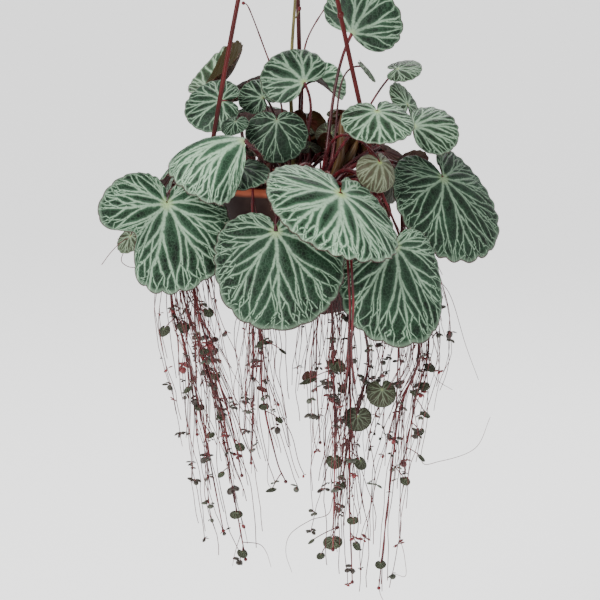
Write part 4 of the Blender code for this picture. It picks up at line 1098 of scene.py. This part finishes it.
potBuild = {
    "steps": 96,
    "profile": [(0, -84), (42, -84), (43.2, -81), (56.3, -2), (57.0, -0.6), (58.2, 0), (61.2, 0), (62.1, -0.4),
                (62.5, -1.4), (62.5, -5.4), (62.1, -6), (61.2, -6), (60.9, -5.6), (60.6, -2.4), (60.0, -2.1),
                (58.6, -2.3), (58.2, -3.2), (44.6, -84.4), (43.8, -85.6), (42.6, -86), (36, -86), (35.5, -85.2),
                (0, -85.2)],
    "drainHoles": 4,
    "drainRadius": 3.5,
    "drainCircle": 24.0,
    "lugRadius": 66.5,
    "lugSize": (11.0, 9.0, 3.0),
    "lugTop": -1.2,
    "lugHole": 2.0,
}
hangerBuild = {
    "strandAngles": {"left": 212.0, "right": 328.0, "back": 84.0},
    "strandBow": {"left": 3.0, "right": -3.0, "back": 0.0},
    "strandRadius": 1.55,
    "sides": 14,
    "headRadius": 4.2,
    "headHeight": 261.4,
    "beadRadius": 3.2,
    "beadHeight": -7.7,
    "collarHeights": {"left": 160.0, "right": 110.0, "back": 150.0},
}


def turnedShell(profile, steps, slot):
    # A closed skin turned about the upright axis; the profile starts and ends on the axis
    profile = np.asarray(profile, float)
    turns = np.linspace(0.0, 2 * math.pi, steps, endpoint=False)
    rings = [np.stack([r * np.cos(turns), r * np.sin(turns), np.full(steps, z)], -1) for r, z in profile[1:-1]]
    places = np.concatenate([[[0, 0, profile[0][1]]], *rings, [[0, 0, profile[-1][1]]]])
    a = np.arange(steps)
    b = (a + 1) % steps
    first = np.stack([np.zeros(steps, int), a + 1, b + 1], -1)
    last = 1 + (len(profile) - 3) * steps
    end = np.stack([np.full(steps, len(places) - 1), b + last, a + last], -1)
    starts = 1 + np.arange(len(profile) - 3)[:, None] * steps
    belts = np.stack([starts + a, starts + a + steps, starts + b + steps, starts + b], -1).reshape(-1, 4)
    return shell(places, [np.concatenate([first, end]), belts], slot)


def cylinderObject(name, centre, radius, height):
    half = height / 2
    profile = [(0, -half), (radius, -half), (radius, half), (0, half)]
    mesh = meshFrom(name, [turnedShell(profile, 24, 0)], [])
    return movedObject(name, mesh, centre)


def movedObject(name, mesh, centre):
    x, y, z = centre
    mesh.transform(Matrix.Translation((x * mm, y * mm, z * mm)))
    return addObject(name, mesh)


def cutOrAdd(mesh, tool, operation):
    holder = addObject("work", mesh)
    change = holder.modifiers.new("cut", "BOOLEAN")
    change.operation = operation
    change.solver = "EXACT"
    change.object = tool
    made = plainMesh(holder)
    bpy.data.objects.remove(tool, do_unlink=True)
    return made


def outwardFaces(mesh):
    # Turns every face of a closed mesh outwards
    work = bmesh.new()
    work.from_mesh(mesh)
    bmesh.ops.remove_doubles(work, verts=work.verts, dist=1e-7)
    bmesh.ops.recalc_face_normals(work, faces=work.faces)
    work.to_mesh(mesh)
    work.free()
    return mesh


def lugMesh(angle):
    # An ear on the rim that a strand passes through
    width, depth, height = potBuild["lugSize"]
    top = potBuild["lugTop"]
    turns = np.linspace(-math.pi / 2, math.pi / 2, 13)
    outline = [(-width / 2, -depth / 2)]
    outline += [(width / 2 - 4.4 + 4.4 * math.cos(t), 4.5 * math.sin(t)) for t in turns]
    outline += [(-width / 2, depth / 2)]
    outline = np.array(outline)
    count = len(outline)
    layers = [np.column_stack([outline * f, np.full(count, z)]) for f, z in
              ((0.94, top - height), (1.0, top - height + 0.5), (1.0, top - 0.5), (0.94, top))]
    places = np.concatenate(layers)
    a = np.arange(count)
    b = (a + 1) % count
    starts = np.arange(3)[:, None] * count
    belts = np.stack([starts + a, starts + b, starts + b + count, starts + a + count], -1).reshape(-1, 4)
    caps = np.stack([a[::-1], a + 3 * count])
    turn = math.radians(angle)
    x = potBuild["lugRadius"] + places[:, 0]
    rotated = np.column_stack([x * math.cos(turn) - places[:, 1] * math.sin(turn),
                               x * math.sin(turn) + places[:, 1] * math.cos(turn), places[:, 2]])
    return meshFrom("lug", [shell(rotated, [belts, caps], 0)], [potPlastic])


def makePot():
    body = outwardFaces(meshFrom("pot", [turnedShell(potBuild["profile"], potBuild["steps"], 0)], [potPlastic]))
    for angle in hangerBuild["strandAngles"].values():
        body = cutOrAdd(body, addObject("lug", outwardFaces(lugMesh(angle))), "UNION")
    for angle in hangerBuild["strandAngles"].values():
        turn = math.radians(angle)
        spot = (potBuild["lugRadius"] * math.cos(turn), potBuild["lugRadius"] * math.sin(turn), 0.0)
        body = cutOrAdd(body, cylinderObject("bore", spot, potBuild["lugHole"], 12.0), "DIFFERENCE")
    for index in range(potBuild["drainHoles"]):
        turn = math.radians(45 + 90 * index)
        spot = (potBuild["drainCircle"] * math.cos(turn), potBuild["drainCircle"] * math.sin(turn), -85.0)
        body = cutOrAdd(body, cylinderObject("drain", spot, potBuild["drainRadius"], 8.0), "DIFFERENCE")
    body.set_sharp_from_angle(angle=math.radians(34))
    return finishPiece("pot_turned", body, "pot", "pot")


def makePotPlastic():
    made, tree, shader, coordinates = newMaterial("potPlastic", Roughness=0.55, Specular_IOR_Level=0.10)
    broad = noise(tree, coordinates, 26.0, 3.0, 0.6)
    fine = noise(tree, coordinates, 700.0, 3.0, 0.6)
    height = addNode(tree, "ShaderNodeSeparateXYZ", {0: coordinates}).outputs[2]
    colour = blendColour(tree, ease(tree, broad, 0.3, 0.7), (0.33, 0.075, 0.036), (0.44, 0.115, 0.060))
    # Painted shade: below the lip the wall is drawn near black, standing in for the shade under the lip and the
    # leaves
    paintedWallShade = ease(tree, height, -0.3368, -0.3405)
    colour = blendColour(tree, paintedWallShade, colour, (0.016, 0.003, 0.002))
    dust = calc(tree, "MULTIPLY", ease(tree, broad, 0.5, 0.75), 0.05)
    colour = blendColour(tree, dust, colour, (0.5, 0.36, 0.28))
    tree.links.new(colour, shader.inputs["Base Color"])
    tree.links.new(calc(tree, "ADD", calc(tree, "MULTIPLY", broad, 0.24), 0.34), shader.inputs["Roughness"])
    addBump(tree, shader, fine, 0.18, 0.0002)
    return made


potPlastic = makePotPlastic()
makePot()
print("pot turned, with its lugs and drain holes")

soilBuild = {
    "rings": 26,
    "spokes": 96,
    "height": -9.0,
    "radius": 56.0,
    "bottomRadius": 41.7,
    "bottom": -83.6,
    "roughness": 0.9,
    "crumbs": 900,
    "perlite": 90,
}


def makeSoilSkin():
    made, tree, shader, coordinates = newMaterial("soilSkin", Roughness=0.95, Specular_IOR_Level=0.12)
    grain = noise(tree, coordinates, 420.0, 5.0, 0.7)
    broad = noise(tree, coordinates, 60.0, 3.0, 0.6)
    colour = blendColour(tree, ease(tree, grain, 0.35, 0.7), (0.008, 0.005, 0.0035), (0.045, 0.027, 0.017))
    dryness = calc(tree, "MULTIPLY", ease(tree, broad, 0.5, 0.8), 0.4)
    colour = blendColour(tree, dryness, colour, (0.09, 0.055, 0.033))
    tree.links.new(colour, shader.inputs["Base Color"])
    addBump(tree, shader, grain, 0.8, 0.001)
    return made


def makePerliteSkin():
    made, tree, shader, coordinates = newMaterial("perliteSkin", Roughness=0.9, Specular_IOR_Level=0.2)
    grain = noise(tree, coordinates, 1200.0, 3.0, 0.7)
    colour = blendColour(tree, grain, (0.42, 0.40, 0.36), (0.78, 0.76, 0.72))
    tree.links.new(colour, shader.inputs["Base Color"])
    addBump(tree, shader, grain, 0.6, 0.0004)
    return made


def makeCrumbTree():
    tree, given, output = newTree("soilCrumbs", {
        "Per area": ("Float", 90000.0),
        "Smallest": ("Float", 0.35),
        "Largest": ("Float", 1.3),
        "Radius": ("Float", 0.001),
        "Skin": ("Material", None),
        "Seed": ("Int", 3),
    })
    normal = tree.nodes.new("GeometryNodeInputNormal").outputs[0]
    rise = addNode(tree, "ShaderNodeSeparateXYZ", {0: normal}).outputs[2]
    top = addNode(tree, "FunctionNodeCompare", {0: rise, 1: 0.55}, operation="GREATER_THAN").outputs[0]
    spread = addNode(tree, "GeometryNodeDistributePointsOnFaces", {
        "Mesh": given["Geometry"], "Selection": top, "Density": given["Per area"], "Seed": given["Seed"],
    })
    ball = addNode(tree, "GeometryNodeMeshIcoSphere", {"Radius": given["Radius"], "Subdivisions": 1})
    grain = ball.outputs["Mesh"]
    turn = randomValue(tree, "FLOAT_VECTOR", (0.0, 0.0, 0.0), (6.28, 6.28, 6.28), given["Seed"])
    low, high = (addNode(tree, "ShaderNodeCombineXYZ", {axis: given[key] for axis in range(3)})
                 for key in ("Smallest", "Largest"))
    size = randomValue(tree, "FLOAT_VECTOR", low.outputs[0], high.outputs[0], given["Seed"])
    crumbs = addNode(tree, "GeometryNodeInstanceOnPoints", {
        "Points": spread.outputs["Points"], "Instance": grain, "Rotation": turn, "Scale": size,
    }).outputs[0]
    finishTree(tree, crumbs, given["Skin"], output)
    return tree


def makeSoil():
    rng = np.random.default_rng(8)
    steps, rings = soilBuild["spokes"], soilBuild["rings"]
    turns = np.linspace(0.0, 2 * math.pi, steps, endpoint=False)
    profile = [(0.0, soilBuild["height"])]
    profile += [(r, soilBuild["height"]) for r in np.linspace(0.0, soilBuild["radius"] - 1.6, rings)[1:]]
    profile += [(soilBuild["radius"] - 0.9, -10.4), (soilBuild["bottomRadius"], soilBuild["bottom"])]
    profile += [(0.0, soilBuild["bottom"])]
    body = turnedShell(profile, steps, 0)
    places = body["places"]
    radius = np.hypot(places[:, 0], places[:, 1])
    top = (places[:, 2] > -9.5) & (radius > 0.1)
    bumps = sum(np.sin(places[:, 0] * a + places[:, 1] * b + c) * d for a, b, c, d in
                ((0.21, 0.13, 1.0, 0.5), (-0.33, 0.4, 2.0, 0.35), (0.9, -0.7, 0.3, 0.18), (1.3, 1.1, 4.0, 0.12)))
    lumps = bumps * soilBuild["roughness"] * 0.6 - 0.5 + rng.normal(0, 0.12, len(places))
    places[:, 2] += np.where(top, lumps, 0.0)
    mesh = outwardFaces(meshFrom("soil", [body], [soilSkin]))
    tree = makeCrumbTree()
    area = math.pi * (soilBuild["radius"] * mm) ** 2
    crumbs = applyTree("crumbs", mesh.copy(), tree, {
        "Per area": soilBuild["crumbs"] / area, "Smallest": 0.35, "Largest": 1.2, "Skin": soilSkin, "Seed": 4})
    perlite = applyTree("perlite", mesh.copy(), tree, {
        "Per area": soilBuild["perlite"] / area, "Smallest": 0.5, "Largest": 1.1,
        "Skin": perliteSkin, "Seed": 9})
    return finishPiece("soil_top", joined("soil", [mesh, crumbs, perlite]), "soil", "soil")


soilSkin = makeSoilSkin()
perliteSkin = makePerliteSkin()
makeSoil()
crownSkin = makeStalkSkin("crownSkin", (0.035, 0.010, 0.008), (0.20, 0.035, 0.030), 90.0)


crownBuild = {
    "width": 9.6,
    "leafBases": 26,
    "baseReach": (2.5, 6.0),
    "shootRadius": 0.75,
    "shootPaintedLight": 0.12,
    "driedRadius": 2.0,
}

# Half-open leaves deep in the crown, drawn dark with a low painted light level as the shade there: place, size,
# heading and pitch of the midrib
youngLeaves = {
    "left": [((-22, 2, 20), 11, 100, 40), ((-8, -14, 18), 9, -60, 30)],
    "right": [((26, 8, 30), 13, 80, 48), ((12, -4, 22), 10, 110, 35), ((33, 14, 44), 11, 95, 20),
              ((38, 12, 40), 14, 70, -60), ((46, 2, 26), 13, 50, -65), ((28, 2, 26), 13, 80, -60),
              ((67, -2, -4), 13, -30, -72)],
    "back": [((8, 26, 34), 13, 90, 52), ((-8, 28, 30), 13, 110, -60), ((10, 24, 38), 15, 85, -65),
             ((24, 27, 34), 14, 70, -65), ((14, 32, 22), 15, 95, -60), ((34, 22, 24), 13, 60, -70),
             ((2, 41, 19), 13, 100, -76), ((15, 42, 20), 14, 95, -76), ((29, 39, 20), 14, 80, -76),
             ((42, 31, 19), 13, 60, -74)],
}


# Thick dried stalks that still stand on the right crown
oldStalks = {"right": [[(26, -13, 0), (31, -12, 12), (33, -11, 28), (33, -10, 44)],
                       [(27, -8, 2), (38, -4, 14), (44, -2, 26)]]}


def makeCrown(order, name):
    # A knobbly dome of old leaf bases where the stalks start
    x, y = plantBase[name]
    rng = np.random.default_rng(50 + order)
    foot = soilLevel + seatGap
    profile = [(0, foot), (crownBuild["width"], foot)]
    profile += [(crownRadius * math.cos(v), foot + crownRadius * math.sin(v))
                for v in np.linspace(0.08, 1.5, 12)]
    profile += [(0, soilLevel + 10.2)]
    body = turnedShell(profile, 40, 0)
    places = body["places"]
    turn = np.arctan2(places[:, 1], places[:, 0])
    height = np.clip((places[:, 2] - soilLevel - 0.4) / 3.0, 0.0, 1.0)
    swell = 0.55 * np.abs(np.sin(turn * 4.5 + places[:, 2] * 0.35 + order)) - 0.35
    radius = np.hypot(places[:, 0], places[:, 1])
    factor = 1.0 + swell * height * np.clip(radius / 5.0, 0.0, 1.0) / 10.0
    places[:, 0] = places[:, 0] * factor + x
    places[:, 1] = places[:, 1] * factor + y
    shells = [body]
    for _index in range(crownBuild["leafBases"]):
        heading, rise = rng.uniform(0, 2 * math.pi), rng.uniform(0.25, 1.3)
        out = direction(heading, rise)
        start = np.array([x, y, soilLevel]) + out * 9.2
        reach = rng.uniform(*crownBuild["baseReach"])
        middle = start + out * reach * 0.5 + rng.normal(0, 0.3, 3)
        route = [start, middle, start + out * reach + rng.normal(0, 0.7, 3)]
        shells.append(tubeShell(np.array(route), [0.7, 0.5, 0.15], 6, 0))
    dome = outwardFaces(meshFrom("crown", shells, [crownSkin]))
    shoots = []
    for index, (place, size, heading, pitch) in enumerate(youngLeaves[name]):
        seed = 500 + order * 10 + index
        # Painted shade: the shoots take the low light level set in crownBuild
        parts, one = smallBlade(seed, place, size, heading, pitch, crownBuild["shootPaintedLight"])
        shoots.extend(parts)
        start, outward = seatOnCrown(name, place, 50.0)
        under = one["junction"] - leafAxes(one)[2] * 0.4
        reach = np.linalg.norm(under - start)
        route = bezier([start - outward, start + outward * reach * 0.5, under], 12)
        shoots.append(tubeShell(route, crownBuild["shootRadius"], 8, 2))
    for places in oldStalks.get(name, []):
        route = smoothRoute(places, 6)
        t = np.linspace(0.0, 1.0, len(route))
        radius = crownBuild["driedRadius"] + 1.1 * np.sin(math.pi * t) - 1.3 * t ** 4
        shoots.append(tubeShell(route, radius, 12, 3))
    materials = [plantletTop, leafUnder, stalkSkin, driedSkin]
    grown = meshFrom("shoots", shoots, materials, (0.3, 0.1, 0.4))
    return finishPiece("crown_" + name + "_dome", joined("crown", [dome, grown]), "crown", "crown_" + name)


for crownOrder, crownName in enumerate(plantBase):
    makeCrown(crownOrder, crownName)
print("soil and crowns made")


def makeHangerPlastic():
    made, tree, shader, coordinates = newMaterial("hangerPlastic", Roughness=0.3, Specular_IOR_Level=0.22)
    broad = noise(tree, coordinates, 40.0, 2.0, 0.5)
    fine = noise(tree, coordinates, 900.0, 2.0, 0.5)
    colour = blendColour(tree, ease(tree, broad, 0.3, 0.7), (0.036, 0.002, 0.002), (0.068, 0.004, 0.004))
    tree.links.new(colour, shader.inputs["Base Color"])
    tree.links.new(calc(tree, "ADD", calc(tree, "MULTIPLY", broad, 0.2), 0.22), shader.inputs["Roughness"])
    addBump(tree, shader, fine, 0.08, 0.0001)
    return made


hangerPlastic = makeHangerPlastic()


def makeHook():
    hub = turnedShell([(0, 280), (2.2, 279.8), (4.0, 278.8), (6.0, 276), (7.4, 272.8), (7.9, 270.6), (8.0, 268),
                       (7.8, 264.4), (7.4, 263.2), (6.6, 262.3), (5.8, 262), (0, 262)], 48, 0)
    bend = [(16.2 * math.cos(math.radians(a)), 0.0, 320 + 16.2 * math.sin(math.radians(a)))
            for a in range(205, -61, -12)]
    route = smoothRoute(bend + [(4.5, 0.0, 298.8), (0.0, 0.0, 290.8), (0.0, 0.0, 276.0)], 3)
    hook = tubeShell(route, 2.2, 18, 0)
    tip = ballShell(route[0], 2.2, 0, across=18, down=10)
    mesh = outwardFaces(meshFrom("hook", [hub, hook, tip], [hangerPlastic]))
    return finishPiece("hanger_hook_bent", mesh, "hanger", "hanger_hook")


def makeStrand(name):
    turn = math.radians(hangerBuild["strandAngles"][name])
    foot = np.array([potBuild["lugRadius"] * math.cos(turn), potBuild["lugRadius"] * math.sin(turn)])
    head = np.array([hangerBuild["headRadius"] * math.cos(turn), hangerBuild["headRadius"] * math.sin(turn)])
    low, high = 1.8, hangerBuild["headHeight"]
    places = [(*foot, hangerBuild["beadHeight"]), (*foot, low)]
    for share in np.linspace(0.0, 1.0, 25)[1:]:
        bow = hangerBuild["strandBow"][name] * math.sin(math.pi * share)
        flat = foot + (head - foot) * share + foot / np.linalg.norm(foot) * bow
        places.append((*flat, low + (high - low) * share))
    places = np.array(places)
    shells = [tubeShell(smoothRoute(places, 2), hangerBuild["strandRadius"], hangerBuild["sides"], 0)]
    bead = (*foot, hangerBuild["beadHeight"])
    shells.append(ballShell(bead, hangerBuild["beadRadius"], 0, 0.9, 24, 14))
    level = hangerBuild["collarHeights"][name]
    at = places[np.abs(places[:, 2] - level).argmin()]
    shells.append(ballShell(at, 2.3, 0, 1.25, 18, 10))
    mesh = meshFrom("strand_" + name, shells, [hangerPlastic])
    return finishPiece("hanger_strand_" + name + "_rod", mesh, "hanger", "hanger_strand_" + name)


makeHook()
for strandName in hangerBuild["strandAngles"]:
    makeStrand(strandName)
print("hanger made")


flowerBuild = {
    "lean": 86.0,
    "places": [(-1, 33, 57), (0, 34, 87), (2, 32, 118), (3, 25, 150)],
    "radius": 1.6,
    "taper": 0.75,
    "budRadius": 1.35,
    "branches": [(0.72, 20, 9), (0.80, 160, 11), (0.86, 250, 8), (0.92, 320, 9), (1.0, 60, 6)],
}


def makeFlowerStalk():
    seat, outward = seatOnCrown("back", flowerBuild["places"][0], flowerBuild["lean"])
    corners = [seat, seat + outward * 20.0, *flowerBuild["places"]]
    route = smoothRoute(corners, 12)
    t = np.linspace(0.0, 1.0, len(route))
    shells = [tubeShell(route, flowerBuild["radius"] - flowerBuild["taper"] * t, 12, 0)]
    for share, heading, reach in flowerBuild["branches"]:
        start = route[round(share * (len(route) - 1))]
        turn = math.radians(heading)
        out = np.array([math.cos(turn), math.sin(turn), 0.0])
        end = start + out * reach * 0.45 + np.array([0, 0, reach * 0.8])
        branch = bezier([start, start + out * reach * 0.3 + np.array([0, 0, reach * 0.2]), end], 8)
        shells.append(tubeShell(branch, np.linspace(0.55, 0.3, 9), 6, 0))
        shells.append(ballShell(end, flowerBuild["budRadius"], 1, 1.3, 12, 8))
    mesh = meshFrom("flower_stalk", shells, [oliveSkin, runnerSkin])
    return finishPiece("flower_stalk_budded", mesh, "flower_stalk", "flower_stalk")


makeFlowerStalk()
print("flower stalk made")

view = {
    "aim": (5.4, 0.0, -82.9),
    "distance": 1400.0,
    "elevation": 10.0,
    "focalPixels": 2058.8,
    "imageWidth": 600.0,
}
studio = {
    "floorSize": 400.0,
    "floorHeight": -0.86,
    "floorColour": (0.93, 0.93, 0.93),
    "floorGlow": 1.2,
    "surround": 0.55,
    "target": (0.0, 0.0, -0.36),
    "keyPower": 62.0,
    "fillPower": 8.0,
    "backPower": 20.0,
}


def addCamera():
    data = bpy.data.cameras.new("camera")
    data.sensor_width = 36.0
    data.lens = data.sensor_width * view["focalPixels"] / view["imageWidth"]
    camera = addObject("camera", data)
    tilt = math.radians(view["elevation"])
    aim = Vector(toRow(view["aim"]))
    back = Vector((0.0, -math.cos(tilt), math.sin(tilt)))
    camera.location = aim + back * view["distance"] * mm
    camera.rotation_euler = back.to_track_quat("Z", "Y").to_euler()
    bpy.context.scene.camera = camera


def addLamp(name, place, target, size, power, colour=(1.0, 1.0, 1.0)):
    data = bpy.data.lights.new(name, "AREA")
    data.shape = "DISK"
    data.size = size
    data.energy = power
    data.color = colour
    lamp = addObject(name, data)
    lamp.location = place
    lamp.rotation_euler = (Vector(place) - Vector(target)).to_track_quat("Z", "Y").to_euler()


def addFloor():
    bpy.ops.mesh.primitive_plane_add(size=studio["floorSize"], location=(0.0, 0.0, studio["floorHeight"]))
    floor = bpy.context.object
    floor.name = "floor"
    made, tree, shader, coordinates = newMaterial("floorPaint", Roughness=0.9, Specular_IOR_Level=0.1)
    shader.inputs["Base Color"].default_value = (*studio["floorColour"], 1.0)
    shader.inputs["Emission Color"].default_value = (1.0, 1.0, 1.0, 1.0)
    shader.inputs["Emission Strength"].default_value = studio["floorGlow"]
    floor.data.materials.append(made)


def addWorld():
    world = bpy.data.worlds.new("studio")
    bpy.context.scene.world = world
    world.use_nodes = True
    background = world.node_tree.nodes["Background"]
    background.inputs["Color"].default_value = (1.0, 1.0, 1.0, 1.0)
    background.inputs["Strength"].default_value = studio["surround"]


addCamera()
addWorld()
addFloor()
addLamp("keyLamp", (-1.1, -1.6, 0.9), studio["target"], 0.9, studio["keyPower"], (1.0, 0.99, 0.97))
addLamp("fillLamp", (1.5, -1.2, 0.1), studio["target"], 1.4, studio["fillPower"])
addLamp("backLamp", (0.3, 1.6, 1.0), studio["target"], 0.9, studio["backPower"])
print("camera, light and floor placed")
